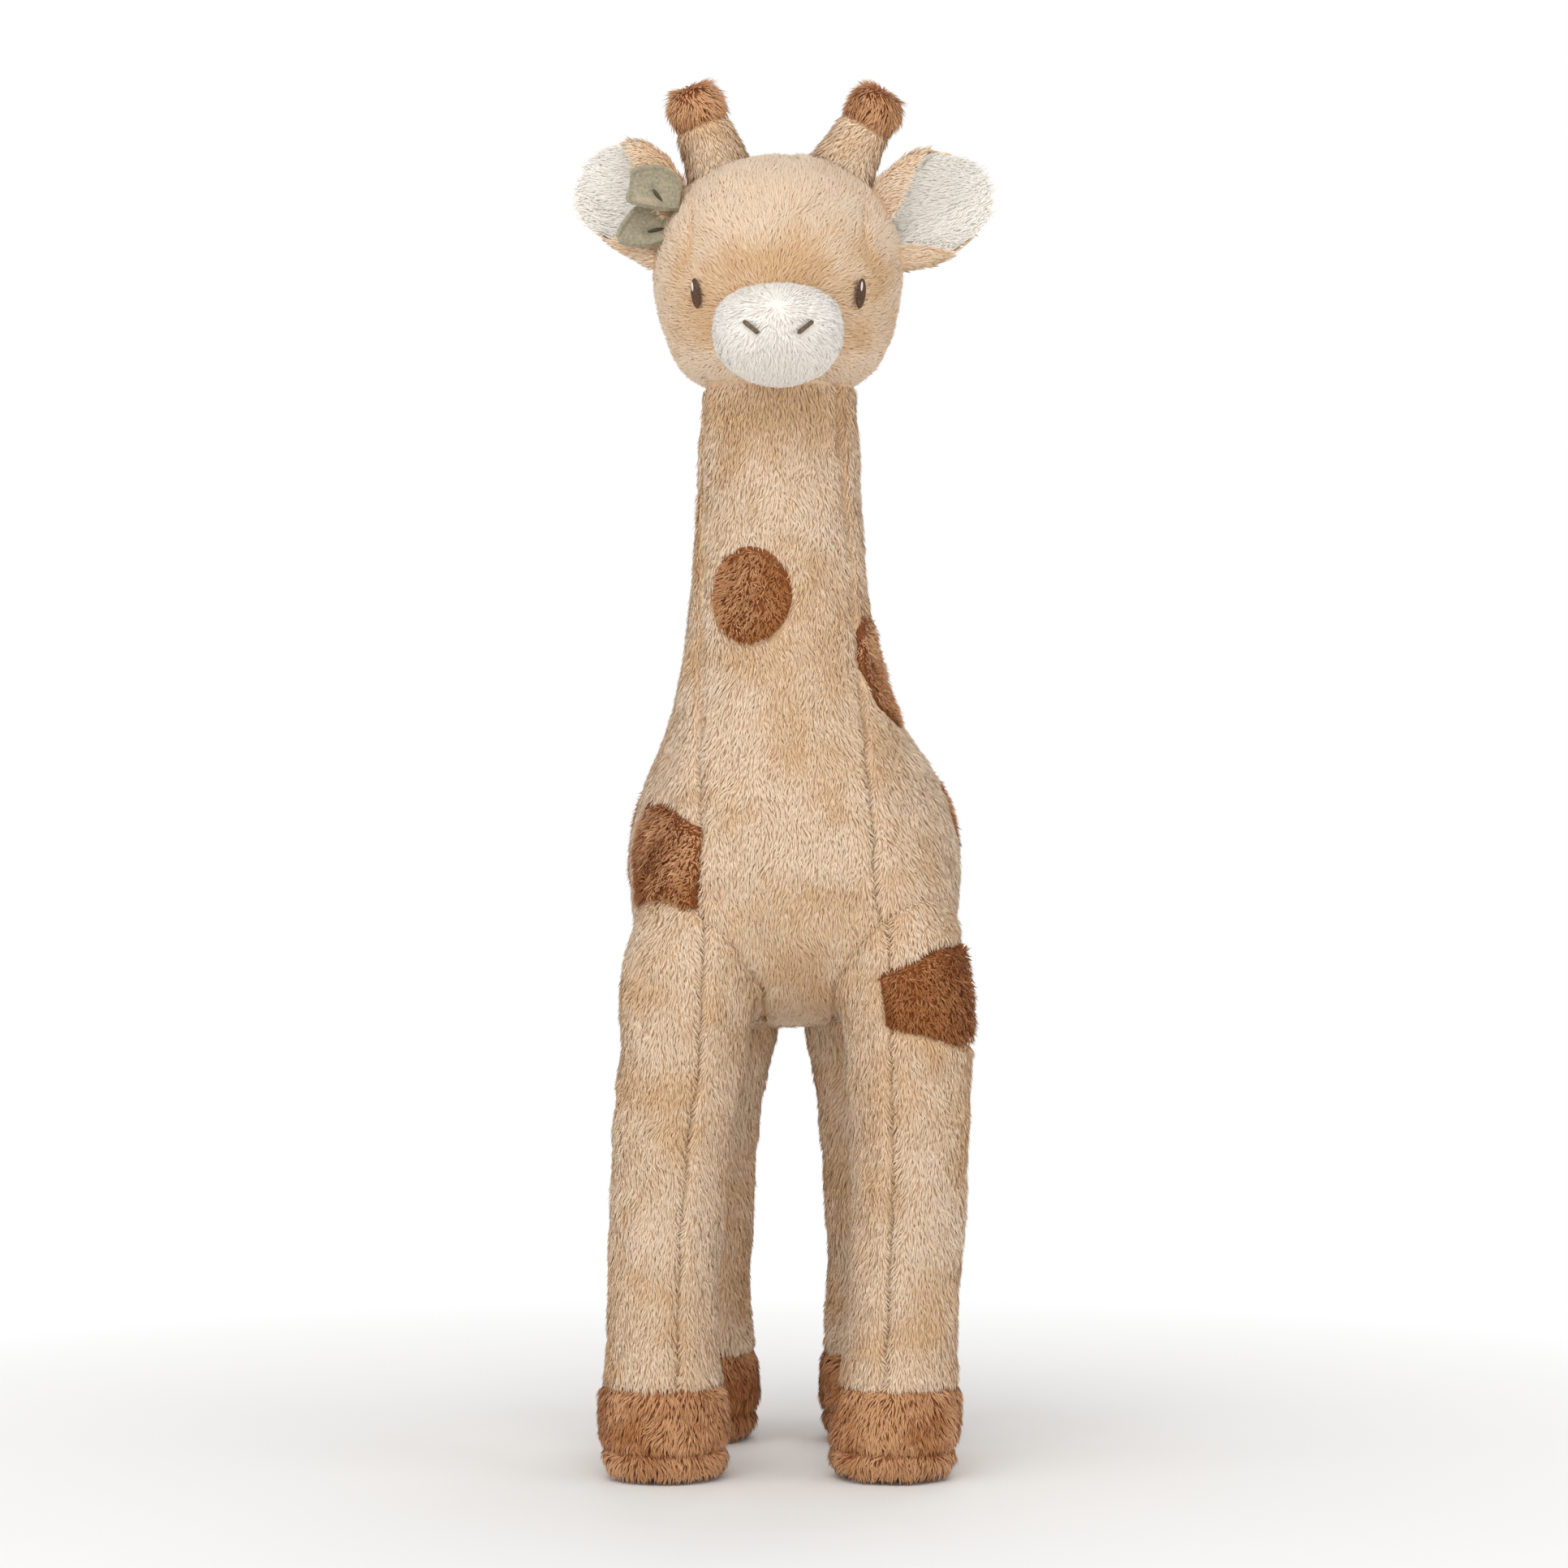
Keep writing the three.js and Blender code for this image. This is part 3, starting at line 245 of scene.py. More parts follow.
# How the pile of each kind of cover differs from that of the trunk and the legs, in metres, degrees and
# locks to a square millimetre. Its root tone is how dark the painted shade down between its locks is
STYLES = {
    "patch": dict(
        length=3.8 * MM, width=0.6 * MM, density=1.7, swirl=70, tangle=0.5, rise=(56, 30), root_shade_tone=0.04
    ),
    "hoof": dict(length=4.6 * MM, width=0.62 * MM, density=1.8, swirl=45, root_shade_tone=0.12),
    "head": dict(width=0.5 * MM, density=3.0, tangle=0.26, rise=(30, 12), root_shade_tone=0.2),
    "muzzle": dict(length=4.2 * MM, width=0.7 * MM, density=2.8, swirl=14, tangle=0.22, rise=(16, 6)),
    "horn_cover": dict(brushed=-0.2),
    "horn_tip": dict(length=5 * MM, density=2.6, swirl=60, rise=(38, 18), root_shade_tone=0.1, brushed=-0.35),
    "ear": dict(length=3.4 * MM, density=2.6, brushed=0.15),
    "tail": dict(length=4 * MM),
    "tuft": dict(length=9 * MM, density=3.0, rise=(34, 10)),
}

# Outlines of the brown patches, as shares of half their width and height
BLOCK_SHARES = ((-0.72, 1.0), (0.1, 0.98), (1.0, 0.46), (0.98, -0.98), (-0.9, -0.94), (-1.0, 0.4))
SLANTED_SHARES = ((-1.0, 0.42), (-0.1, 0.92), (0.86, 1.0), (1.0, -0.96), (0.4, -1.0), (-0.92, -0.62))
LONG_SHARES = (
    (-0.55, 1.0),
    (0.5, 0.96),
    (1.0, 0.1),
    (0.86, -0.72),
    (0.1, -1.0),
    (-0.7, -0.6),
    (-1.0, 0.3),
)
ROUND_SHARES = tuple(
    (math.cos(a), math.sin(a)) for a in np.linspace(0, 2 * math.pi, 24, endpoint=False)
)
# Patches of the trunk: outline, width and height in metres, level up the trunk, bearing
PATCHES = {
    "neck_spot_front": (ROUND_SHARES, 29 * MM, 34 * MM, 0.657, -20),
    "neck_spot_left": (LONG_SHARES, 30 * MM, 40 * MM, 0.544, 75),
    "neck_spot_back": (ROUND_SHARES, 30 * MM, 33 * MM, 0.787, 205),
    "shoulder_spot_right": (BLOCK_SHARES, 40 * MM, 37 * MM, 0.27, -48),
    "flank_spot_right": (LONG_SHARES, 42 * MM, 38 * MM, 0.3, -109),
    "flank_spot_left": (SLANTED_SHARES, 42 * MM, 38 * MM, 0.335, 104),
    "rump_spot": (ROUND_SHARES, 32 * MM, 29 * MM, 0.3, 142),
}
THIGH_PATCH = (SLANTED_SHARES, 38 * MM, 35 * MM, 0.8, 36)
# How much of a patch's pile is brushed the other way, where it isn't 0.15
BRUSHED_PATCHES = {"neck_spot_front": 0.3, "neck_spot_left": -0.5, "thigh_spot_left": 0.5}


def linear(code):
    """The linear colour of an sRGB hex value."""
    parts = [(code >> shift & 255) / 255 for shift in (16, 8, 0)]
    return tuple(c / 12.92 if c <= 0.04045 else ((c + 0.055) / 1.055) ** 2.4 for c in parts)


def size(name, millimetres, description):
    return FloatProperty(
        name=name,
        description=description,
        default=millimetres * MM,
        unit="LENGTH",
        subtype="DISTANCE",
        precision=4,
    )


def share(name, value, description):
    return FloatProperty(
        name=name, description=description, default=value, subtype="FACTOR", min=0, max=2
    )


def angle(name, degrees, description):
    return FloatProperty(
        name=name, description=description, default=math.radians(degrees), unit="ROTATION", subtype="ANGLE"
    )


def colour(name, code, description):
    return FloatVectorProperty(
        name=name, description=description, default=linear(code), size=3, min=0, max=1, subtype="COLOR"
    )


class TrunkSettings(bpy.types.PropertyGroup):
    belly_height: size("Belly height", 156, "From the floor to the belly")
    torso_height: size("Torso height", 136, "From the belly to the root of the neck")
    neck_length: size("Neck length", 103, "From the shoulders into the head")
    half_width: size("Half width", 61, "Of the torso")
    half_depth: size("Half depth", 72, "Of the torso")
    back: size("Set back", 3.5, "The torso's middle behind the middle of the feet")
    sway: size("Sway", 4, "How far the soft torso has settled to its left")
    neck_root: size("Neck root radius", 36, "Where the neck leaves the shoulders")
    neck_top: size("Neck top radius", 28.6, "Under the head")
    neck_front: size("Neck set forward", 25.5, "The neck's middle before the middle of the feet")
    neck_sway: size("Neck sway", -2, "How far the neck has settled to its left")
    patch_rise: size("Patch rise", 1.0, "How far a patch stands above the panel that it is sewn to")


class LimbSettings(bpy.types.PropertyGroup):
    hip_rise: size("Hip rise", 59, "How far the leg reaches up the torso")
    leg_radius: size("Leg radius", 21.5, "Of the stuffed leg")
    hoof_radius: size("Hoof radius", 24, "Of the stuffed hoof")
    hoof_height: size("Hoof height", 34, "Up to the seam with the leg")
    sole_height: size("Sole height", 12, "Up to the fold round the sole")
    seam_inset: size("Seam inset", 6, "The front seam inward of the foot's middle")
    front_foot: size("Front foot side", 42, "From the middle to a front foot")
    front_hip: size("Front hip side", 37, "From the torso's middle to a front hip")
    front_leg: size("Front leg front", 46.5, "The front legs before the middle of the feet")
    rear_foot: size("Rear foot side", 35, "From the middle to a rear foot")
    rear_hip: size("Rear hip side", 35, "From the torso's middle to a rear hip")
    rear_leg: size("Rear leg back", 46.5, "The rear legs behind the middle of the feet")


class HeadSettings(bpy.types.PropertyGroup):
    seat_depth: size("Seat depth", 14, "How far the head sits into the neck")
    seat_radius: size("Seat radius", 56, "Of the round seat under the head")
    seat_rim: size("Seat rim", 36, "Where the head leaves its seat")
    height: size("Head height", 91.5, "From its seat to its crown")
    half_width: size("Head half width", 46, "Between the ears")
    half_depth: size("Head half depth", 46, "From face to nape")
    crown_share: share("Crown width", 0.675, "Of the crown panel, as a share of the head's")
    muzzle_half_width: size("Muzzle half width", 24.5, "Across the nose")
    muzzle_half_depth: size("Muzzle half depth", 25, "From the face to the nose")
    muzzle_half_height: size("Muzzle half height", 20, "From chin to bridge")
    muzzle_front_share: share("Muzzle front", 0.946, "Its middle, as a share of the head's half depth")
    muzzle_height_share: share("Muzzle level", 0.24, "The muzzle's middle up the head")
    eye_width: size("Eye width", 4.2, "Of the embroidered eye")
    eye_height: size("Eye height", 10.6, "Of the embroidered eye")
    eye_share: share("Eye level", 0.41, "Up the head")
    eye_bearing: angle("Eye bearing", 40, "From straight ahead")
    nostril_length: size("Nostril length", 7, "Of the row of stitches")
    nostril_width: size("Nostril width", 1.6, "Of the row of stitches")
    nostril_side: size("Nostril side", 9.5, "From the middle of the muzzle")
    nostril_slope: angle("Nostril slope", 41, "Rising outward")
    horn_length: size("Horn length", 46, "From its root inside the head")
    horn_radius: size("Horn radius", 11.5, "Of the stuffed horn")
    horn_tip: size("Horn tip length", 15, "Of the brown cover")
    horn_share: share("Horn level", 0.82, "Of the horn's root up the head")
    horn_front: size("Horn front", 2, "Of the middle of the head")
    horn_nod: angle("Horn nod", 6, "Forward")


class EarSettings(bpy.types.PropertyGroup):
    length: size("Ear length", 40, "Out from the root")
    half_width: size("Ear half width", 20, "At its widest")
    side_share: share("Ear side", 0.86, "Root, as a share of the head's half width")
    height_share: share("Ear level", 0.743, "Of the root up the head")
    back: size("Ear back", 1, "Behind the middle of the head")
    tilt: angle("Ear tilt", 11, "The tip above the root")
    leaf_thickness: size("Leaf thickness", 1.8, "Of the felt")
    leaf_cup: size("Leaf cup", 2.2, "Depth of the leaf's hollow")


class PileSettings(bpy.types.PropertyGroup):
    depth: size("Backing depth", 2.5, "The knitted backing below the tips of the pile")
    length: size("Pile length", 4.0, "Of a lock of the beige plush")
    width: size("Lock width", 0.56, "At a lock's middle, drawn a little coarse so that it shows")
    per_square_mm: FloatProperty(
        name="Density", description="Locks of pile on a square millimetre", default=2.2, min=0.1, max=4
    )
    seed: IntProperty(name="Seed", description="Of everything that is random", default=7, min=0)
    # The root colours are painted shade down between the locks. The brushed colours are partly the nap
    # brushed the other way, and partly painted shade in seams, under the head and on the rear hooves
    beige_root: colour("Beige root", 0xE3BC90, "Down between the locks of the beige plush")
    beige_tip: colour("Beige tip", 0xF0DAC1, "Tips of the beige plush")
    beige_brushed: colour("Beige brushed", 0xE0B98D, "Beige pile that is brushed the other way")
    brown_root: colour("Brown root", 0x86491F, "Down between the locks of the brown plush")
    brown_tip: colour("Brown tip", 0xE4B082, "Tips of the brown plush")
    brown_brushed: colour("Brown brushed", 0xB37341, "Brown pile that is brushed the other way")
    cream_root: colour("Cream root", 0xF5EFE5, "Down between the locks of the cream plush")
    cream_tip: colour("Cream tip", 0xF5F0E8, "Tips of the cream plush")
    cream_brushed: colour("Cream brushed", 0xFBF5ED, "Cream pile that is brushed the other way")
    felt: colour("Felt", 0xA29A83, "Sage felt of the leaves")
    thread: colour("Thread", 0x6B452B, "Brown embroidery thread")


class StageSettings(bpy.types.PropertyGroup):
    distance: size("Camera distance", 1589.1, "In front of the origin")
    side: size("Camera side", 2, "To the giraffe's left")
    height: size("Camera height", 246, "Above the floor")
    lens: FloatProperty(name="Lens", description="Focal length in millimetres", default=100, min=10)
    floor: colour("Floor", 0xF4F3F1, "Pale studio floor")
    ambient: FloatProperty(name="Ambient", description="Strength of the plain light all round", default=0.5)
    key: FloatProperty(name="Key", description="Watts of the soft light above the front", default=16.8)
    right: FloatProperty(name="Right", description="Watts of the soft light at its right", default=9)
    left: FloatProperty(name="Left", description="Watts of the soft light at its left", default=8.5)
    behind: FloatProperty(name="Behind", description="Watts of the soft light behind", default=9)


SETTINGS = {
    "giraffe_trunk": TrunkSettings,
    "giraffe_limbs": LimbSettings,
    "giraffe_head": HeadSettings,
    "giraffe_ears": EarSettings,
    "giraffe_pile": PileSettings,
    "giraffe_stage": StageSettings,
}


# Each lamp: its name, where it hangs, what it is turned to, and its width, in metres
LAMPS = (
    ("Key", (-0.2, -1.4, 1.55), (0, 0, 0.3), 1.5),
    ("Right", (-1.5, -1.0, 0.5), (0, 0, 0.25), 1.2),
    ("Left", (1.5, -1.0, 0.5), (0, 0, 0.25), 1.2),
    ("Behind", (0.3, 1.5, 1.3), (0, 0, 0.3), 1.4),
)
SENSOR_WIDTH = 36
WHITE = (1, 1, 1, 1)
# Where the floor starts to fade to white and where it is white, in metres from the toy
PAPER_FADE = 0.14, 0.5
FLOOR_REACH = 4.0


# Noise and small sums


def noise(points, scale, seed):
    """Smooth random numbers from -1 to 1 on a lattice of this scale."""
    at = points / scale + 100 + seed * 17.31
    cell = np.floor(at).astype(np.int64)
    part = at - cell
    part = part * part * (3 - 2 * part)
    total = np.zeros(len(points))
    for corner in np.ndindex(2, 2, 2):
        lattice = cell + corner
        mixed = lattice[:, 0] * 73856093 ^ lattice[:, 1] * 19349663 ^ lattice[:, 2] * 83492791
        value = ((mixed * 2654435761 >> 7) & 65535) / 32767.5 - 1
        weight = np.prod(np.where(corner, part, 1 - part), axis=1)
        total += value * weight
    return total


def unit(vectors):
    return vectors / np.maximum(np.linalg.norm(vectors, axis=1, keepdims=True), 1e-12)


def along_surface(vectors, normals):
    """Vectors laid flat on the surface that has these normals."""
    return unit(vectors - normals * (vectors * normals).sum(1, keepdims=True))


def bump(distance, reach):
    """1 at a seam, falling to 0 within about twice the reach."""
    return np.exp(-((distance / reach) ** 2))


def between(low, high, part):
    return low + (high - low) * part


def moved(points, matrix):
    a = np.array(matrix)
    return points @ a[:3, :3].T + a[:3, 3]


def line_distance(points, corners):
    """Distance in a plane from points to an open line through corners."""
    best = np.full(len(points), np.inf)
    for start, end in zip(corners, corners[1:]):
        start = np.array(start)
        way = np.array(end) - start
        part = np.clip((points - start) @ way / (way @ way), 0, 1)
        best = np.minimum(best, np.linalg.norm(points - start - part[:, None] * way, axis=1))
    return best


def outline_distance(points, corners):
    """Signed distance in a plane to a closed outline, negative inside it."""
    corners = np.array(corners)
    ring = np.vstack([corners, corners[:1]])
    inside = np.zeros(len(points), bool)
    for (x0, y0), (x1, y1) in zip(ring, ring[1:]):
        crosses = (y0 > points[:, 1]) != (y1 > points[:, 1])
        slope = (x1 - x0) / (y1 - y0) if y1 != y0 else 0.0
        inside ^= crosses & (points[:, 0] < x0 + (points[:, 1] - y0) * slope)
    return np.where(inside, -1, 1) * line_distance(points, ring)


def smooth_rows(rows, count):
    """The rows of a table, made denser along a smooth curve through them."""
    rows = np.array(rows, float)
    steps = np.hypot(np.diff(rows[:, 0]), np.diff(rows[:, 3]))
    along = np.concatenate([[0], np.cumsum(steps)])
    slope = np.gradient(rows, along, axis=0)
    at = np.linspace(0, along[-1], count)
    i = np.clip(np.searchsorted(along, at, side="right") - 1, 0, len(along) - 2)
    step = (along[i + 1] - along[i])[:, None]
    t = (at - along[i])[:, None] / step
    made = rows[i] * (2 * t**3 - 3 * t**2 + 1) + rows[i + 1] * (3 * t**2 - 2 * t**3)
    return made + step * (slope[i] * (t**3 - 2 * t**2 + t) + slope[i + 1] * (t**3 - t**2))


class Form:
    """A stuffed form: a smooth skin through rings, each a height, x, y, half width, half depth and power."""

    DENSE = 400

    def __init__(self, rings, placed=None):
        self.rings = smooth_rows(rings, self.DENSE)
        self.rings[:, 0] = np.maximum.accumulate(self.rings[:, 0]) + np.arange(self.DENSE) * 1e-9
        self.placed = placed or Matrix.Identity(4)

    def at(self, height):
        return [np.interp(height, self.rings[:, 0], self.rings[:, k]) for k in range(1, 6)]

    def holds(self, points, by=0.0):
        """Which points lie inside the form, grown by this much."""
        p = moved(points, self.placed.inverted())
        x, y, half_width, half_depth, power = self.at(p[:, 2])
        across = np.abs(p[:, 0] - x) / np.maximum(half_width + by, 1e-6)
        along = np.abs(p[:, 1] - y) / np.maximum(half_depth + by, 1e-6)
        level = (p[:, 2] > self.rings[0, 0] - by) & (p[:, 2] < self.rings[-1, 0] + by)
        return level & (across**power + along**power < 1)

    def gap(self, points):
        """About how far points lie outside the form, negative inside it."""
        p = moved(points, self.placed.inverted())
        x, y, half_width, half_depth, power = self.at(p[:, 2])
        off = np.abs(np.stack([p[:, 0] - x, p[:, 1] - y], 1))
        grown = (off[:, 0] / half_width) ** power + (off[:, 1] / half_depth) ** power
        level = np.hypot(*off.T) * (1 - 1 / np.maximum(grown ** (1 / power), 1e-6))
        past = np.maximum(np.maximum(self.rings[0, 0] - p[:, 2], p[:, 2] - self.rings[-1, 0]), 0)
        return np.where(past > 0, np.hypot(np.maximum(level, 0), past), level)

    def skin(self, spacing, inset=0.0):
        """A closed skin of triangles about this far apart, that lies inset from the form."""
        girth = math.pi * self.rings[:, 3:5].sum(1).max()
        steps = np.hypot(np.diff(self.rings[:, 0]), np.diff(self.rings[:, 3:5].mean(1)))
        height = steps.sum()
        around = max(int(girth / spacing), 12)
        count = max(int(height / spacing), 6)
        along = np.concatenate([[0], np.cumsum(steps)])
        at = np.linspace(0, height, count + 1)
        rows = np.stack([np.interp(at, along, self.rings[:, k]) for k in range(6)], 1)
        turn = np.arange(around) * 2 * math.pi / around
        power = 2 / rows[:, 5:6]
        c, s = np.cos(turn), np.sin(turn)
        x = rows[:, 1:2] + rows[:, 3:4] * np.sign(c) * np.abs(c) ** power
        y = rows[:, 2:3] + rows[:, 4:5] * np.sign(s) * np.abs(s) ** power
        z = np.repeat(rows[:, 0:1], around, 1)
        points = np.stack([x, y, z], 2).reshape(-1, 3)
        ends = rows[[0, -1]][:, [1, 2, 0]]
        points = np.vstack([points, ends])
        i = np.arange(around)
        j = (i + 1) % around
        tris = []
        for level in range(count):
            a, b = level * around + i, level * around + j
            tris += [np.stack([a, b, b + around], 1), np.stack([a, b + around, a + around], 1)]
        low, high = len(points) - 2, len(points) - 1
        top = count * around
        tris.append(np.stack([np.full(around, low), j, i], 1))
        tris.append(np.stack([np.full(around, high), top + i, top + j], 1))
        made = Skin(moved(points, self.placed), np.vstack(tris))
        made.points = made.points - made.normals * inset
        return made


class Skin:
    """Triangles with a normal at each point."""

    def __init__(self, points, tris, normals=None):
        self.points = points
        self.tris = tris
        self.normals = self.worked_out() if normals is None else normals

    def worked_out(self):
        a, b, c = (self.points[self.tris[:, k]] for k in range(3))
        faces = np.cross(b - a, c - a)
        total = np.zeros_like(self.points)
        for k in range(3):
            for axis in range(3):
                total[:, axis] += np.bincount(self.tris[:, k], faces[:, axis], len(self.points))
        return unit(total)

    def pushed(self, rise):
        """The skin moved along its normals, by one distance or by one for each point."""
        return Skin(self.points + self.normals * np.reshape(rise, (-1, 1)), self.tris)

    def cut(self, planes):
        """The skin with edges along where it meets the planes, each a point and a normal."""
        mesh = bpy.data.meshes.new("cutting")
        mesh.from_pydata(self.points.tolist(), [], self.tris.tolist())
        bm = bmesh.new()
        bm.from_mesh(mesh)
        for at, normal in planes:
            every = [*bm.verts, *bm.edges, *bm.faces]
            bmesh.ops.bisect_plane(bm, geom=every, dist=1e-7, plane_co=at, plane_no=normal)
        bmesh.ops.triangulate(bm, faces=bm.faces)
        bm.to_mesh(mesh)
        bm.free()
        points = np.empty(len(mesh.vertices) * 3)
        mesh.vertices.foreach_get("co", points)
        tris = np.empty(len(mesh.polygons) * 3, np.int32)
        mesh.polygons.foreach_get("vertices", tris)
        bpy.data.meshes.remove(mesh)
        return Skin(points.reshape(-1, 3), tris.reshape(-1, 3))

    def middles(self):
        return self.points[self.tris].mean(1)

    def panel(self, chosen):
        """The part of the skin with these triangles."""
        used, tris = np.unique(self.tris[chosen], return_inverse=True)
        return Skin(self.points[used], tris.reshape(-1, 3), self.normals[used])

    def thick(self, by):
        """A closed sheet: this skin, a copy below it, and between them a rim with normals of its own."""
        count = len(self.points)
        edges = np.vstack([self.tris[:, [0, 1]], self.tris[:, [1, 2]], self.tris[:, [2, 0]]])
        key = edges[:, 0] * count + edges[:, 1]
        back = edges[:, 1] * count + edges[:, 0]
        a, b = edges[~np.isin(key, back)].T
        rim = np.vstack([np.stack([b, a, a + count], 1), np.stack([b, a + count, b + count], 1)])
        points = np.vstack([self.points, self.points - self.normals * by])
        used, own = np.unique(rim, return_inverse=True)
        edge = Skin(points[used], own.reshape(-1, 3))
        tris = np.vstack([self.tris, self.tris[:, ::-1] + count, edge.tris + 2 * count])
        normals = np.vstack([self.normals, -self.normals, edge.normals])
        return Skin(np.vstack([points, edge.points]), tris, normals)


# Pile

# The triangles of a lock: its root, two sides, keel and tip, and its sides again for the faces below
SLIVER = ((1, 4, 2), (0, 1, 2), (5, 0, 3), (0, 6, 3), (6, 4, 3), (4, 5, 3))
# How far up the colours of a lock its root starts, and its other points lie. The low end of the colours is
# painted shade down between the locks
ROOT_SHADE_TONE = 0.3
LOCK_TONES = (0.62, 0.62, 0.65, 1.0, 0.7, 0.7)
LOCK_POINTS = 1 + max(max(corners) for corners in SLIVER)
# Shares of a lock's length: up to its middle, and on to its tip
LOWER_SHARE, UPPER_SHARE = 0.45, 0.6
# How deep its root sits in the backing, and how deep its keel is as a share of its width
ROOT_DEPTH, KEEL_SHARE = 0.3 * MM, 0.35
# How much locks differ in length and in width
LENGTH_RANGE, WIDTH_RANGE = (0.78, 1.18), (0.75, 1.25)
# How far from a seam the pile is pressed down and painted with shade, and how far from it the pile leans in,
# and how strongly
CREASE_REACH, LEAN_REACH, LEAN = 1.1 * MM, 2.4 * MM, 0.8
# In a seam: how much shorter and flatter pile is, how much darker painted shade makes it, and how much of
# the darker, oranger brushed colour is painted in there as shade
CREASE_SHORTER, CREASE_FLATTER, CREASE_PAINTED_SHADE, CREASE_SHADE_TINT = 0.62, 0.25, 0.75, 0.45
# How far apart a lock's two sides lie in tint, so that none of its faces is without area in the UV map
TINT_SPREAD = 0.004
# The least and the greatest angle that a lock rises at, in degrees
LEAST_RISE, GREATEST_RISE = 2, 85


def no_seams(points):
    return np.full(len(points), 1.0)


def downward(points, normals):
    return along_surface(np.tile([0.0, 0.0, -1.0], (len(points), 1)), normals)


def slope_of(distance, points, step=0.4 * MM):
    """Which way a distance grows, at each point."""
    here = distance(points)
    return np.stack([distance(points + step * axis) - here for axis in np.eye(3)], 1) / step


def scattered(skin, density, rng):
    """Points spread evenly over a skin, this many to a square millimetre, and their normals."""
    a, b, c = (skin.points[skin.tris[:, k]] for k in range(3))
    area = np.linalg.norm(np.cross(b - a, c - a), axis=1) / 2
    count = int(area.sum() / MM**2 * density)
    face = rng.choice(len(area), count, p=area / area.sum())
    u, v = rng.random((2, count, 1))
    u, v = np.where(u + v > 1, 1 - u, u), np.where(u + v > 1, 1 - v, v)
    corner = skin.normals[skin.tris[face]]
    normals = unit(corner[:, 0] * (1 - u - v) + corner[:, 1] * u + corner[:, 2] * v)
    return a[face] + u * (b - a)[face] + v * (c - a)[face], normals


def lock_ways(root, normal, flow, seams, swirl, tangle, rng):
    """Which way each lock lies along the surface, and how near to a seam it is, up to 1 on it."""
    near = seams(root)
    way = flow(root, normal)
    turn = math.radians(swirl) * (noise(root, 13 * MM, 1) + 0.7 * noise(root, 5 * MM, 2))
    turn = turn + rng.normal(0, tangle, len(root))
    side = np.cross(normal, way)
    way = way * np.cos(turn)[:, None] + side * np.sin(turn)[:, None]
    lean = -slope_of(seams, root) * (LEAN * bump(near, LEAN_REACH))[:, None]
    return along_surface(way + lean, normal), bump(near, CREASE_REACH)


def lock_points(root, normal, way, crease, length, width, rise, rng):
    """Where the points of each lock lie, and the directions across its blade and out of it."""
    count = len(root)
    side = np.cross(normal, way)
    reach = length * rng.uniform(*LENGTH_RANGE, count) * (1 - CREASE_SHORTER * crease)
    reach = (reach * (1 + 0.15 * noise(root, 9 * MM, 3)))[:, None]
    lift = 1 + 0.35 * noise(root, 3 * MM, 4) + rng.normal(0, 0.18, count)
    angles = (degrees * lift * (1 - CREASE_FLATTER * crease) for degrees in rise)
    angles = (np.clip(degrees, LEAST_RISE, GREATEST_RISE) for degrees in angles)
    steep, lying = (np.radians(degrees)[:, None] for degrees in angles)
    start = root - normal * ROOT_DEPTH
    middle = start + reach * LOWER_SHARE * (way * np.cos(steep) + normal * np.sin(steep))
    bend = (0.42 * noise(root, 2.3 * MM, 5) + rng.normal(0, 0.1, count))[:, None]
    onward = unit(way + side * bend)
    tip = middle + reach * UPPER_SHARE * (onward * np.cos(lying) + normal * np.sin(lying))
    roll = rng.normal(0, 0.3, count)[:, None]
    blade = side * np.cos(roll) + np.cross(way, side) * np.sin(roll)
    half = (width / 2 * rng.uniform(*WIDTH_RANGE, count))[:, None] * blade
    top = np.cross(way, blade)
    pair = (middle - half, middle + half)
    keel = middle - top * width * KEEL_SHARE
    return np.stack([start, *pair, keel, tip, *pair], 1).reshape(-1, 3), blade, top


def lock_normals(normal, way, blade, top):
    """The normals of each lock's points, that shade it as round and let it take the surface's light."""
    shaded = unit(normal + 0.14 * top)
    toward = unit(shaded + 0.4 * way)
    sides = [unit(shaded + turned * 0.3 * blade) for turned in (-1, 1)]
    below = [unit(0.8 * turned * blade - 0.5 * top + 0.9 * way) for turned in (-1, 1)]
    return np.stack([normal, *sides, unit(way - top), toward, *below], 1).reshape(-1, 3)


def lock_looks(root, crease, brushed, root_shade_tone, rng):
    """Each point's place on the pile's colours: its tint, from how the nap is brushed and from painted shade
    where a cover asks for it, and its tone. The low tones at the root are painted shade down between the
    locks, and near a seam both tint and tone carry painted shade.
    """
    nap = 0.45 + 0.45 * noise(root, 17 * MM, 6) + 0.28 * noise(root, 7 * MM, 7)
    nap = nap + (brushed(root) if callable(brushed) else brushed)
    # Near a seam both the tint and the tone carry painted shade: more of the darker, oranger brushed colour,
    # and a lower tone
    tint = np.clip(nap, 0, 1) + rng.normal(0, 0.14, len(root)) + CREASE_SHADE_TINT * crease
    tint = np.clip(tint, 0.02, 0.98)[:, None] + TINT_SPREAD * np.array([0, -1, 1, 0, 0, -1, 1])
    tone = np.clip(np.array([root_shade_tone, *LOCK_TONES]) - CREASE_PAINTED_SHADE * crease[:, None], 0.02, 1)
    return np.stack([tint, tone], 2).reshape(-1, 2)


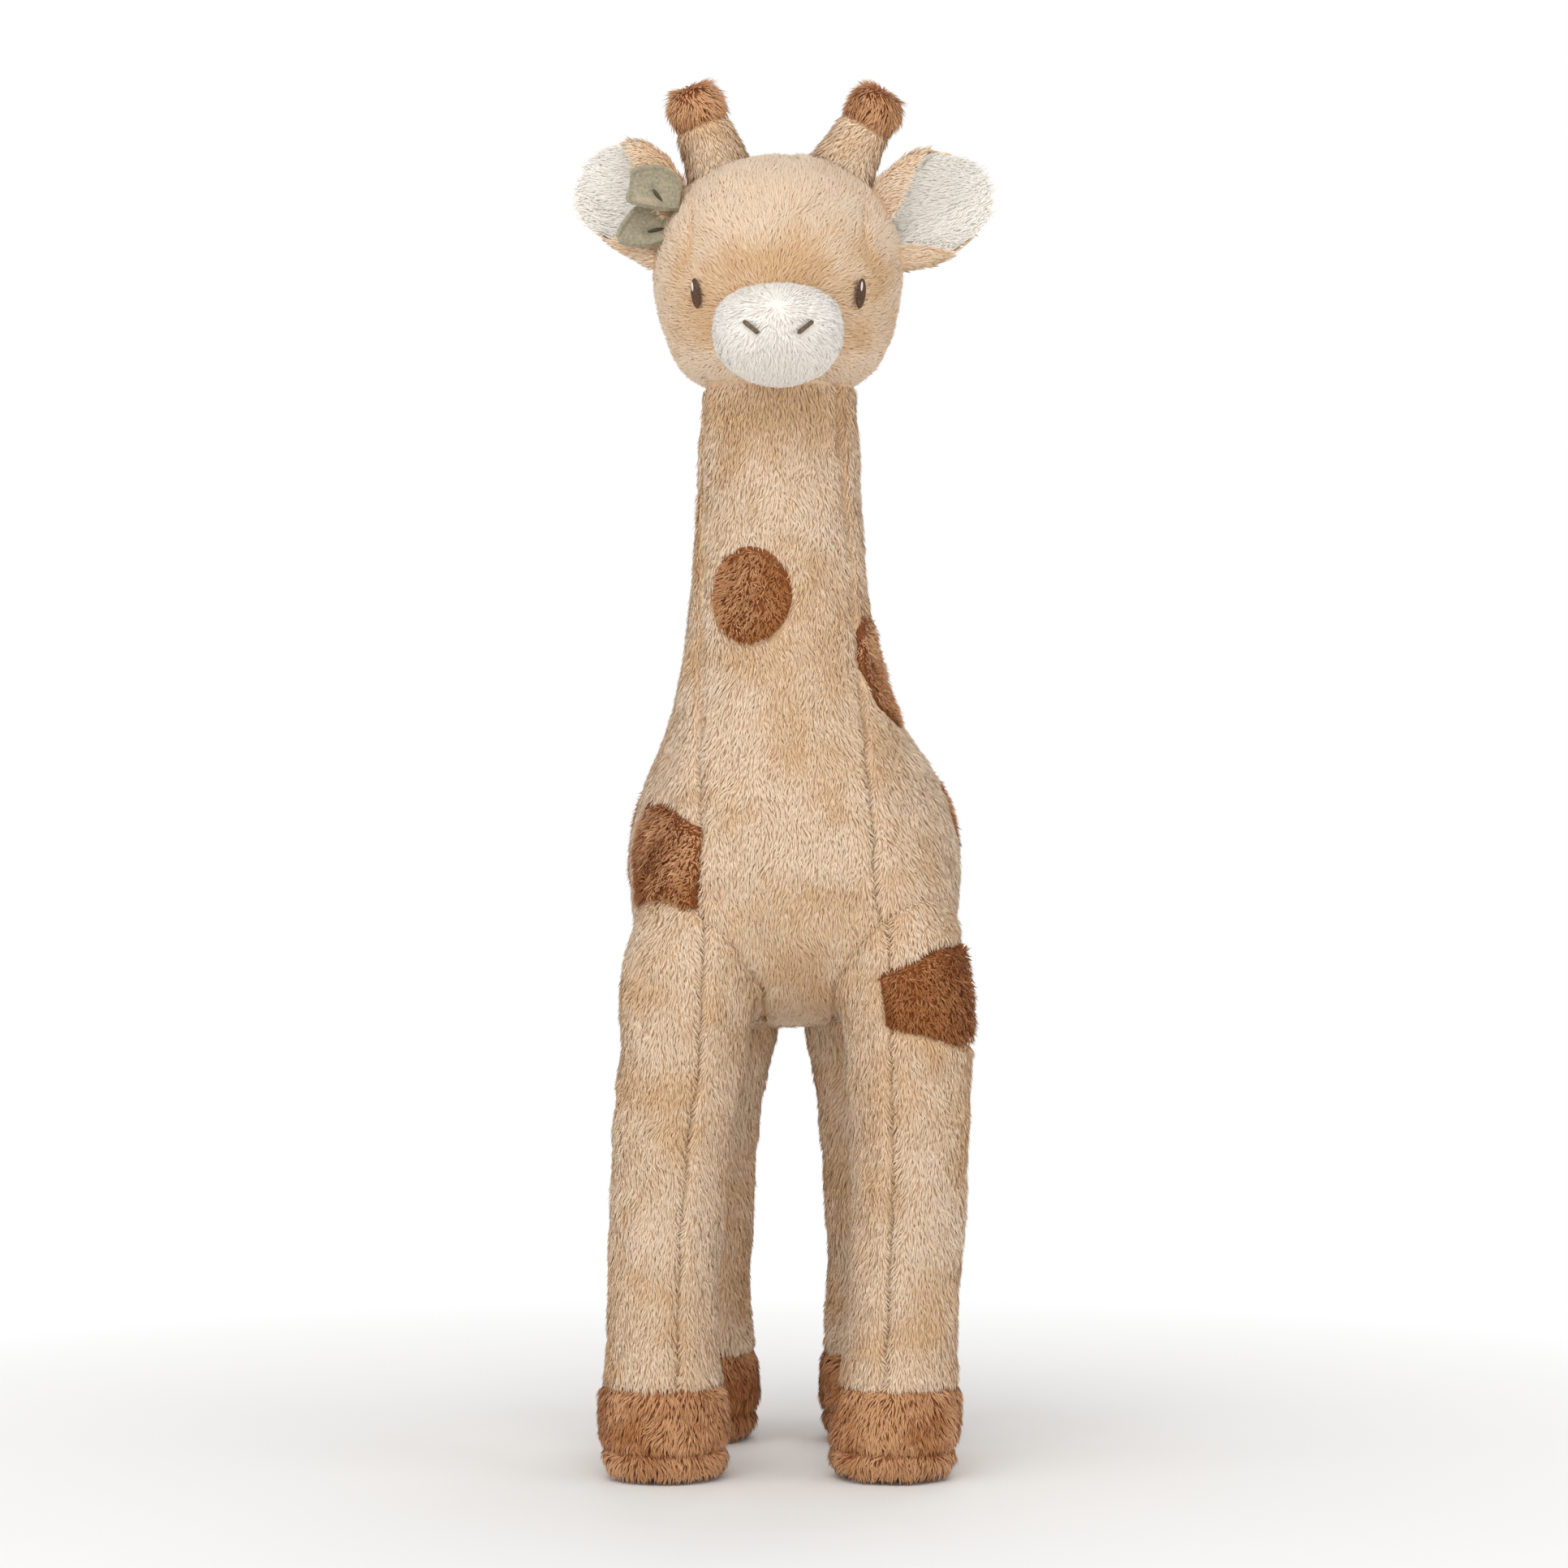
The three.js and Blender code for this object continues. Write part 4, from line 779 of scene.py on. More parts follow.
def grow_pile(
    skin,
    pile,
    rng,
    flow=downward,
    seams=no_seams,
    keep=None,
    length=None,
    width=None,
    density=None,
    swirl=24,
    rise=(36, 13),
    tangle=0.16,
    brushed=0.0,
    root_shade_tone=ROOT_SHADE_TONE,
):
    """Locks of pile on a skin. Each is a closed sliver with a flat top and a keel, that leaves the backing
    steeply and lies down along the flow, and leans towards a seam beside it. The rise is that of a lock's
    two halves, and the swirl how far the flow wanders, in degrees. The tangle is how far locks cross."""
    length = length or pile.length
    width = width or pile.width
    root, normal = scattered(skin, density or pile.per_square_mm, rng)
    if keep is not None:
        kept = keep(root)
        root, normal = root[kept], normal[kept]
    way, crease = lock_ways(root, normal, flow, seams, swirl, tangle, rng)
    points, blade, top = lock_points(root, normal, way, crease, length, width, rise, rng)
    normals = lock_normals(normal, way, blade, top)
    looks = lock_looks(root, crease, brushed, root_shade_tone, rng)
    first = (np.arange(len(root)) * LOCK_POINTS)[:, None]
    tris = (first + np.array([SLIVER]).reshape(1, -1)).reshape(-1, 3)
    return Skin(points, tris, normals), looks


def joined(parts):
    """Skins and their looks as one."""
    first, tris = 0, []
    for skin, _ in parts:
        tris.append(skin.tris + first)
        first += len(skin.points)
    points = np.vstack([skin.points for skin, _ in parts])
    normals = np.vstack([skin.normals for skin, _ in parts])
    return Skin(points, np.vstack(tris), normals), np.vstack([looks for _, looks in parts])


def plain_looks(skin, root_shade_tone):
    """The backing's place on the pile's colours: its tint from noise, and the tone of the roots, which is
    painted shade as dark as that down between the locks.
    """
    tint = 0.5 + 0.45 * noise(skin.points, 6 * MM, 8)
    tone = root_shade_tone * (1 + 0.35 * noise(skin.points, 2 * MM, 9))
    return np.stack([tint, tone], 1)


def make_piece(name, body, nodes, skin, fabric, looks=None):
    """A Blender object for a skin that rides on a body and stands for CAD nodes. Its looks are each
    point's tint and tone, in the layer that its material reads and in the one that the bake reads."""
    mesh = bpy.data.meshes.new(name)
    mesh.vertices.add(len(skin.points))
    mesh.vertices.foreach_set("co", skin.points.astype(np.float32).ravel())
    mesh.loops.add(skin.tris.size)
    mesh.loops.foreach_set("vertex_index", skin.tris.astype(np.int32).ravel())
    mesh.polygons.add(len(skin.tris))
    mesh.polygons.foreach_set("loop_start", np.arange(len(skin.tris), dtype=np.int32) * 3)
    mesh.update(calc_edges=True)
    mesh.shade_smooth()
    if looks is not None:
        corners = looks[skin.tris.ravel()].astype(np.float32).ravel()
        for layer in ("Pile", "OFBake"):
            mesh.uv_layers.new(name=layer).data.foreach_set("uv", corners)
    mesh.normals_split_custom_set_from_vertices(skin.normals.tolist())
    mesh.materials.append(fabric)
    piece = bpy.data.objects.new(name, mesh)
    bpy.context.scene.collection.objects.link(piece)
    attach(piece, body)
    if nodes:
        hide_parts(*nodes)
    return piece


# Materials


def node(tree, kind, settings=None, **links):
    """Adds a node, sets its properties, and fills or links its inputs, by name or by number as _0."""
    made = tree.nodes.new(kind)
    for name, value in (settings or {}).items():
        setattr(made, name, value)
    for name, value in links.items():
        numbered = name[0] == "_" and name[1:].isdigit()
        socket = made.inputs[int(name[1:]) if numbered else name.replace("_", " ")]
        if isinstance(value, bpy.types.NodeSocket):
            tree.links.new(value, socket)
        else:
            socket.default_value = value
    return made


def material(name):
    """A material and its empty tree, or None for the tree where the material was made before."""
    made = bpy.data.materials.get(name)
    if made:
        return made, None
    made = bpy.data.materials.new(name)
    made.use_nodes = True
    made.node_tree.nodes.clear()
    return made, made.node_tree


def surface(tree, shader):
    output = node(tree, "ShaderNodeOutputMaterial")
    tree.links.new(shader.outputs[0], output.inputs["Surface"])


def four(rgb):
    return (*rgb, 1.0)


def stops(ramp, *colours):
    """Puts colours on a colour ramp, each a place and a linear colour."""
    elements = ramp.color_ramp.elements
    for number, (place, rgb) in enumerate(colours):
        stop = elements[number] if number < 2 else elements.new(place)
        stop.position = place
        stop.color = four(rgb)


def plush(pile, shade):
    """Polyester plush, knitted and sheared to a short pile, then tumbled so that it lies in locks. The
    eye sees pale tips over a warmer, darker base, which is painted shade down between the locks, and patches
    where the pile is brushed the other way. The brushed colour is also painted shade in seams, under the
    head and on the rear hooves."""
    made, tree = material(f"{shade.capitalize()} polyester plush, sheared")
    if tree is None:
        return made
    root, tip, brushed = (getattr(pile, f"{shade}_{part}") for part in ("root", "tip", "brushed"))
    where = node(tree, "ShaderNodeUVMap", {"uv_map": "Pile"})
    parts = node(tree, "ShaderNodeSeparateXYZ", Vector=where.outputs[0])
    up = node(tree, "ShaderNodeValToRGB", Fac=parts.outputs["Y"])
    stops(up, (0, root), (1, tip), (0.5, [(r + 2 * t) / 3 for r, t in zip(root, tip)]))
    turned = node(tree, "ShaderNodeValToRGB", Fac=parts.outputs["Y"])
    stops(turned, (0, [r * 0.86 for r in root]), (1, brushed))
    much = node(tree, "ShaderNodeMapRange", Value=parts.outputs["X"], From_Min=0.25, From_Max=1.0)
    mixed = node(tree, "ShaderNodeMix", {"data_type": "RGBA"})
    tree.links.new(much.outputs[0], mixed.inputs["Factor"])
    tree.links.new(up.outputs[0], mixed.inputs[6])
    tree.links.new(turned.outputs[0], mixed.inputs[7])
    shader = node(
        tree,
        "ShaderNodeBsdfPrincipled",
        Base_Color=mixed.outputs[2],
        Roughness=0.85,
        Specular_IOR_Level=0.2,
        Sheen_Weight=0.12,
        Sheen_Roughness=0.5,
    )
    surface(tree, shader)
    return made


def stitched_thread(name, base, dark, scale_mm):
    """Twisted thread of rayon, cotton or polyester, laid side by side. The eye sees a fine grain of light
    and dark plies, this many millimetres wide, with a soft gloss."""
    made, tree = material(name)
    if tree is None:
        return made
    where = node(tree, "ShaderNodeTexCoord")
    scale = 1 / (scale_mm * MM)
    grain = node(tree, "ShaderNodeTexNoise", Vector=where.outputs["Object"], Scale=scale, Detail=3.0)
    ramp = node(tree, "ShaderNodeValToRGB", Fac=grain.outputs[0])
    stops(ramp, (0.35, dark), (0.65, base))
    rough = node(tree, "ShaderNodeBump", Height=grain.outputs[0], Strength=0.4, Distance=0.2 * MM)
    shader = node(
        tree,
        "ShaderNodeBsdfPrincipled",
        Base_Color=ramp.outputs[0],
        Roughness=0.5,
        Normal=rough.outputs[0],
        Specular_IOR_Level=0.4,
    )
    surface(tree, shader)
    return made


def wool_felt(name, base):
    """Wool felt, pressed and cut. The eye sees matted fibres in lighter and darker flecks, and rosy clouds
    where the dye took less."""
    made, tree = material(name)
    if tree is None:
        return made
    where = node(tree, "ShaderNodeTexCoord")
    fibre, cloud = (
        node(tree, "ShaderNodeTexNoise", Vector=where.outputs["Object"], Scale=1 / wide, Detail=detail)
        for wide, detail in ((0.9 * MM, 6.0), (4 * MM, 2.0))
    )
    ramp = node(tree, "ShaderNodeValToRGB", Fac=fibre.outputs[0])
    stops(ramp, (0.3, [c * 0.72 for c in base]), (0.7, [min(c * 1.18, 1) for c in base]))
    fleck = node(
        tree, "ShaderNodeMapRange", Value=cloud.outputs[0], From_Min=0.52, From_Max=0.75, To_Max=0.55
    )
    mixed = node(tree, "ShaderNodeMix", {"data_type": "RGBA"})
    tree.links.new(fleck.outputs[0], mixed.inputs["Factor"])
    tree.links.new(ramp.outputs[0], mixed.inputs[6])
    mixed.inputs[7].default_value = four(linear(0xC9AE93))
    matted = node(tree, "ShaderNodeBump", Height=fibre.outputs[0], Strength=0.6, Distance=0.3 * MM)
    shader = node(
        tree,
        "ShaderNodeBsdfPrincipled",
        Base_Color=mixed.outputs[2],
        Roughness=0.95,
        Normal=matted.outputs[0],
        Specular_IOR_Level=0.1,
        Sheen_Weight=0.2,
    )
    surface(tree, shader)
    return made


def fibre_wadding():
    """Hollow polyester fibre, carded to wadding. The eye sees a white cloud of crossing fibres."""
    made, tree = material("Polyester wadding, carded")
    if tree is None:
        return made
    where = node(tree, "ShaderNodeTexCoord")
    cloud = node(tree, "ShaderNodeTexNoise", Vector=where.outputs["Object"], Scale=1 / (3 * MM), Detail=8.0)
    ramp = node(tree, "ShaderNodeValToRGB", Fac=cloud.outputs[0])
    stops(ramp, (0, linear(0xD9D7D2)), (1, linear(0xFBFAF8)))
    loose = node(tree, "ShaderNodeBump", Height=cloud.outputs[0], Strength=0.7, Distance=1 * MM)
    shader = node(
        tree, "ShaderNodeBsdfPrincipled", Base_Color=ramp.outputs[0], Roughness=0.95, Normal=loose.outputs[0]
    )
    surface(tree, shader)
    return made


# The forms


class Giraffe:
    """The stuffed forms and their places, worked out from the settings."""

    def __init__(self, scene):
        self.trunk, self.limbs = scene.giraffe_trunk, scene.giraffe_limbs
        self.head, self.ears, self.pile = scene.giraffe_head, scene.giraffe_ears, scene.giraffe_pile
        self.neck = Vector(JOINTS["head_turn"]["pos_m"])
        self.feet = Vector((self.neck.x - self.trunk.neck_sway, self.neck.y + self.trunk.neck_front, 0))
        t = self.trunk
        self.shoulder = t.belly_height + t.torso_height
        self.neck_end = self.shoulder + t.neck_length
        self.seat = self.neck_end - self.head.seat_depth
        self.trunk_form = Form(self.trunk_rings())
        self.skull = Form(self.skull_rings())
        m, h = self.limbs, self.head
        self.legs = {
            f"{end}_{name}_leg": self.leg(side, *places)
            for end, places in (
                ("front", (m.front_foot, m.front_hip, -m.front_leg)),
                ("rear", (m.rear_foot, m.rear_hip, m.rear_leg)),
            )
            for name, side in SIDES
        }
        muzzle_y = self.neck.y - h.muzzle_front_share * h.half_depth
        self.muzzle_at = Vector((self.neck.x, muzzle_y, self.up_head(h.muzzle_height_share)))
        self.muzzle = Form(self.muzzle_rings())

    def rng(self, salt):
        return np.random.default_rng(self.pile.seed * 1000 + salt)

    def trunk_rings(self):
        """The rings of the trunk, up from the belly through the shoulder to the end of the neck."""
        t, base = self.trunk, self.feet

        def ring(z, half_width, half_depth, onward, square):
            x = base.x + between(t.sway, t.neck_sway, onward)
            y = base.y + between(t.back, -t.neck_front, onward)
            return (z, x, y, half_width, half_depth, 2 + square * TORSO_SQUARENESS)

        rings = [
            ring(self.up_torso(up), wide * t.half_width, deep * t.half_depth, *shape)
            for up, wide, deep, *shape in TORSO_RING_SHARES
        ]
        for up, taper, onward in NECK_RING_SHARES:
            radius = between(t.neck_root, t.neck_top, taper)
            rings.append(ring(between(self.shoulder, self.neck_end, up), radius, radius, onward, 0))
        return rings

    def up_torso(self, part):
        return between(self.trunk.belly_height, self.shoulder, part)

    def up_head(self, part):
        return self.seat + part * self.head.height

    def skull_rings(self):
        """The rings of the head: the hollow that seats on the neck, then the head's outside."""
        h, x, y = self.head, self.neck.x, self.neck.y
        rings = []
        for part in SEAT_RING_SHARES:
            radius = part * h.seat_rim
            z = self.seat + h.seat_radius - math.sqrt(h.seat_radius**2 - radius**2)
            rings.append((z, x, y, radius, radius, 2))
        for up, wide in HEAD_RING_SHARES:
            rings.append((self.up_head(up), x, y, wide * h.half_width, wide * h.half_depth, 2))
        return rings

    def muzzle_rings(self):
        """The rings of the muzzle, full above and rounder below."""
        h, at = self.head, self.muzzle_at
        rings = []
        for tilt in np.radians(np.linspace(-86, 86, 13)):
            up = math.sin(tilt)
            deep = math.cos(tilt)
            wide = math.sqrt(1 - up**3) if up > 0 else deep
            z = at.z + up * h.muzzle_half_height
            rings.append((z, at.x, at.y, wide * h.muzzle_half_width, deep * h.muzzle_half_depth, 2))
        return rings

    def leg(self, side, foot, hip, front):
        m, base = self.limbs, self.feet
        top = self.trunk.belly_height + m.hip_rise
        moved_foot, bow, times = SETTLED_LEGS[(side, front < 0)]

        def ring(z, radius, inward=0.0):
            x = base.x + between(side * foot + moved_foot, self.trunk.sway + side * hip, z / top)
            x += bow * math.sin(math.pi * min(times * z / top, 1)) - side * inward
            return (z, x, base.y + front, radius, radius, 2)

        rings = [ring(up * m.hoof_height, wide * m.hoof_radius) for up, wide in HOOF_RING_SHARES]
        for up, wide in LEG_RING_SHARES:
            thigh = THIGH_SHARE * m.leg_radius * max(up - THIGH_START, 0) / THIGH_SPAN * (front > 0)
            rings.append(ring(between(m.hoof_height, top, up), wide * m.leg_radius + thigh, 0.7 * thigh))
        made = Form(rings)
        made.side = side
        return made

    def leg_seam(self, form, heights):
        """Where a leg's upright seams run, at these heights."""
        return form.at(heights)[0] - form.side * self.limbs.seam_inset

    def chest_corners(self):
        """The right and left edges of the chest panel in the XZ plane, from the throat down."""
        t = self.trunk
        low, point = self.up_torso(CHEST_CORNER_SHARE), self.up_torso(CHEST_POINT_SHARE)
        middle = self.feet.x + t.sway
        edges = []
        for top, corner, tip in zip(CHEST_TOP_SHARES, CHEST_LOW_SHARES, CHEST_POINT_SHARES):
            tip_x = middle + tip * t.half_width
            start = (self.neck.x + top * t.neck_top, self.neck_end)
            edges.append([start, (middle + corner * t.half_width, low), (tip_x, point), (tip_x, 0.0)])
        return edges

    def chest_share(self, points):
        """Which points belong to the chest panel or its belly strip."""
        right, left = (np.array(edge)[::-1] for edge in self.chest_corners())
        z = points[:, 2]
        within = points[:, 0] > np.interp(z, right[:, 1], right[:, 0])
        within &= points[:, 0] < np.interp(z, left[:, 1], left[:, 0])
        under = z < right[1, 1]
        strip = under & (points[:, 1] < self.strip_end())
        return within & (strip | (~under & (points[:, 1] < self.neck.y)))

    def strip_end(self):
        return self.feet.y + self.trunk.back + BELLY_STRIP_SHARE * self.trunk.half_depth

    def trunk_seams(self, points):
        """How far points lie from the nearest of the trunk's seams, which wander a little."""
        front = points[:, 1] < self.neck.y
        flat = points[:, [0, 2]].copy()
        flat[:, 0] += 0.7 * MM * noise(points * (0, 0, 1), 9 * MM, 12)
        best = np.full(len(points), 1.0)
        for edge in self.chest_corners():
            near = line_distance(flat, edge)
            best = np.where(front | (points[:, 2] < edge[2][1]), np.minimum(best, near), best)
        behind = points[:, 1] > self.neck.y
        spine = np.abs(points[:, 0] - self.feet.x)
        return np.where(behind & ~self.chest_share(points), np.minimum(best, spine), best)

    def trunk_planes(self):
        """The planes that cut the trunk's skin along its seams."""
        planes = []
        for edge in self.chest_corners():
            for (x0, z0), (x1, z1) in zip(edge, edge[1:]):
                planes.append(((x0, 0, z0), (z1 - z0, 0, x0 - x1)))
        point = self.chest_corners()[0][2][1]
        planes.append(((0, 0, point), (0, 0, 1)))
        planes.append(((0, self.strip_end(), 0), (0, 1, 0)))
        planes.append(((self.feet.x, 0, 0), (1, 0, 0)))
        return planes

    def patch_frame(self, patch, middle=None):
        """(origin, across, up, out) of a patch, on the trunk unless its middle is given."""
        _, _, _, level, bearing = patch
        turn = math.radians(bearing)
        if middle is None:
            z = between(self.trunk.belly_height, self.neck_end, level)
            x, y, half_width, half_depth, _ = self.trunk_form.at(z)
            turn = math.atan2(math.sin(turn) * half_width, math.cos(turn) * half_depth)
            middle = Vector((x, y, z))
        across = np.array((math.cos(turn), math.sin(turn), 0))
        out = Vector((math.sin(turn), -math.cos(turn), 0))
        return np.array(middle), across, np.array((0, 0, 1.0)), np.array(out)

    def patch_distance(self, points, patch, spot):
        """Signed distance to a patch's edge, negative inside it and large on the far side."""
        outline, width, height, _, _ = patch
        at, across, up, out = spot
        off = points - at
        flat = np.stack([off @ across, off @ up], 1)
        near = outline_distance(flat, [(x * width / 2, z * height / 2) for x, z in outline])
        return np.where(off @ out > 0, near, 1.0)


def cover(giraffe, node_name, body, shade, skin, salt, root_shade_tone=ROOT_SHADE_TONE, **style):
    """A panel of plush: its knitted backing, as a closed sheet, and its pile, as one piece."""
    sheet = skin.thick(BACKING_THICKNESS)
    locks = grow_pile(skin, giraffe.pile, giraffe.rng(salt), root_shade_tone=root_shade_tone, **style)
    whole, looks = joined([(sheet, plain_looks(sheet, root_shade_tone)), locks])
    fabric = plush(giraffe.pile, shade)
    piece = make_piece(f"{node_name}_plush", body, [node_name], whole, fabric, looks)


def filling(node_name, body, form, inset=6 * MM):
    """The wadding inside a cover."""
    name = node_name.replace("filling", "wadding")
    skin = form.skin(FILLING_STEP, inset)
    piece = make_piece(name, body, [node_name], skin, fibre_wadding())


def grooves(skin, seams, depth=2.2 * MM, lumps=0.6 * MM, seed=0):
    """The skin pulled in along its seams, and a little uneven over its filling."""
    near = seams(skin.points)
    uneven = lumps * (noise(skin.points, 16 * MM, 20 + seed) + 0.5 * noise(skin.points, 7 * MM, 21 + seed))
    return skin.pushed(-depth * bump(near, 1.3 * MM) + uneven * (1 - bump(near, 4 * MM)))


def stuffed_join(points, forms, reach=13 * MM):
    """How far stuffing fills the fold where a skin meets other forms."""
    close = np.min([np.abs(form.gap(points)) for form in forms], axis=0)
    return np.clip(reach - close, 0, None) ** 2 / (4 * reach)


def build_trunk(giraffe):
    """The chest panel, the two side panels and the patches on them."""
    g = giraffe
    spots = {name: (patch, g.patch_frame(patch)) for name, patch in PATCHES.items()}

    def seams(points):
        near = g.trunk_seams(points)
        for patch, spot in spots.values():
            near = np.minimum(near, 0.6 * MM + np.abs(g.patch_distance(points, patch, spot)))
        return near

    # Painted shadow under the chin: the darker, oranger brushed colour fades down the neck from the head,
    # and the rest of the trunk's pile is a little paler
    def brushed(points):
        chin_shadow = np.clip((points[:, 2] - g.seat + CHIN_SHADOW_REACH) / CHIN_SHADOW_REACH, 0, 1)
        return 0.5 * chin_shadow - 0.1

    def free_of_patches(points):
        kept = ~g.skull.holds(points, -TRUNK_IN_HEAD)
        for form in g.legs.values():
            kept &= ~form.holds(points, -TRUNK_IN_LEG)
        for patch, spot in spots.values():
            kept &= g.patch_distance(points, patch, spot) > 0.2 * MM
        return kept

    skin = g.trunk_form.skin(TRUNK_STEP, g.pile.depth).cut(g.trunk_planes())
    skin = skin.pushed(stuffed_join(skin.points, g.legs.values()))
    skin = grooves(skin, g.trunk_seams)
    middles = skin.middles()
    chest = g.chest_share(middles)
    left = middles[:, 0] > g.feet.x
    panels = {
        "chest_and_belly_panel": chest,
        "side_panel_left": ~chest & left,
        "side_panel_right": ~chest & ~left,
    }
    style = dict(seams=seams, keep=free_of_patches, brushed=brushed)
    for salt, (name, chosen) in enumerate(panels.items()):
        cover(g, name, "trunk", "beige", skin.panel(chosen), salt, **style)
    for salt, (name, (patch, spot)) in enumerate(spots.items()):
        build_patch(g, name, skin, patch, spot, 10 + salt)


def build_patch(giraffe, name, skin, patch, spot, salt):
    """A patch of brown plush: the part of the skin inside its outline, raised a little."""
    g = giraffe

    def edge(points):
        return np.abs(g.patch_distance(points, patch, spot))

    near = g.patch_distance(skin.points, patch, spot)
    close = (near[skin.tris] < 2.5 * MM).any(1)
    at, across, up, out = spot
    outline, width, height, _, _ = patch
    corners = [at + across * x * width / 2 + up * z * height / 2 for x, z in outline]
    planes = [(a, np.cross(b - a, out)) for a, b in zip(corners, corners[1:] + corners[:1])]
    local = skin.panel(close).cut(planes)
    inside = g.patch_distance(local.middles(), patch, spot) < 0
    if name != "neck_spot_front" and name in PATCHES:
        inside &= ~g.chest_share(local.middles())
    raised = local.panel(inside).pushed(g.trunk.patch_rise)
    brushed = BRUSHED_PATCHES.get(name, 0.15)
    cover(g, name, "trunk", "brown", raised, salt, seams=edge, brushed=brushed, **STYLES["patch"])


def thigh_spot(giraffe):
    """The frame of the patch on the left foreleg's thigh."""
    g, m = giraffe, giraffe.limbs
    level = THIGH_PATCH[3] * (g.trunk.belly_height + m.hip_rise)
    middle = Vector((g.legs["front_left_leg"].at(level)[0], g.feet.y - m.front_leg, level))
    return g.patch_frame(THIGH_PATCH, middle)


def leg_skin(giraffe, form, seams, seed):
    """The skin of a leg, cut at its front and back seam and at the edges of its hoof and its sole."""
    g, m = giraffe, giraffe.limbs
    skin = form.skin(LEG_STEP, g.pile.depth)
    skin.points[:, 0] -= g.leg_seam(form, skin.points[:, 2])
    levels = [((0, 0, z), (0, 0, 1)) for z in (m.hoof_height, m.sole_height)]
    skin = skin.cut([*levels, ((0, 0, 0), (1, 0, 0))])
    skin.points[:, 0] += g.leg_seam(form, skin.points[:, 2])
    skin = Skin(skin.points, skin.tris)
    skin = skin.pushed(stuffed_join(skin.points, [g.trunk_form]))
    skin = grooves(skin, seams, seed=seed)
    skin.points[:, 2] = np.maximum(skin.points[:, 2], FLOOR_BACKING_GAP)
    return Skin(skin.points, skin.tris)


def build_leg(giraffe, number, name, form):
    """A leg's two panels, its hoof and its sole, and the patch on the left foreleg's thigh."""
    g, m = giraffe, giraffe.limbs
    thigh = thigh_spot(g) if name == "front_left_leg" else None

    def seams(points):
        rings = np.hypot(points[:, 2] - m.hoof_height, 1.3 * MM)
        rings = np.minimum(rings, np.hypot(points[:, 2] - m.sole_height, 0.9 * MM))
        wander = 0.5 * MM * noise(points * (0, 0, 1), 9 * MM, number)
        upright = np.abs(points[:, 0] + wander - g.leg_seam(form, points[:, 2]))
        near = np.where(points[:, 2] > m.hoof_height, np.minimum(rings, upright), rings)
        if thigh:
            near = np.minimum(near, 0.3 * MM + np.abs(g.patch_distance(points, THIGH_PATCH, thigh)))
        return near

    def keep(points):
        kept = ~g.trunk_form.holds(points, -LEG_IN_TRUNK)
        if thigh:
            kept &= g.patch_distance(points, THIGH_PATCH, thigh) > -0.4 * MM
        return kept

    def above_floor(points):
        return points[:, 2] > FLOOR_GAP

    skin = leg_skin(g, form, seams, number)
    middles = skin.middles()
    outer = (middles[:, 0] - g.leg_seam(form, middles[:, 2])) * form.side > 0
    high, low = middles[:, 2] > m.hoof_height, middles[:, 2] < m.sole_height
    clear = ~g.trunk_form.holds(middles, -LEG_BACKING_REACH)
    # Painted shade on the rear hooves and soles, as if the body above shaded them: more of the darker,
    # oranger brushed colour
    brushed = 0.4 if name.startswith("rear") else 0.0
    style = dict(seams=seams, keep=above_floor, brushed=brushed, **STYLES["hoof"])
    for part, chosen in (("outer_panel", outer), ("inner_panel", ~outer)):
        salt = 30 + number * 4 + (part == "outer_panel")
        panel = skin.panel(high & clear & chosen)
        cover(g, f"{name}_{part}", "trunk", "beige", panel, salt, seams=seams, keep=keep)
    for part, chosen in (("hoof", ~high & ~low), ("sole", low)):
        salt = 32 + number * 4 + (part == "hoof")
        cover(g, f"{name}_{part}", "trunk", "brown", skin.panel(chosen), salt, **style)
    if thigh:
        build_patch(g, "thigh_spot_left", skin, THIGH_PATCH, thigh, 50)


def build_legs(giraffe):
    """The four legs, the front ones first."""
    for number, (name, form) in enumerate(giraffe.legs.items()):
        build_leg(giraffe, number, name, form)


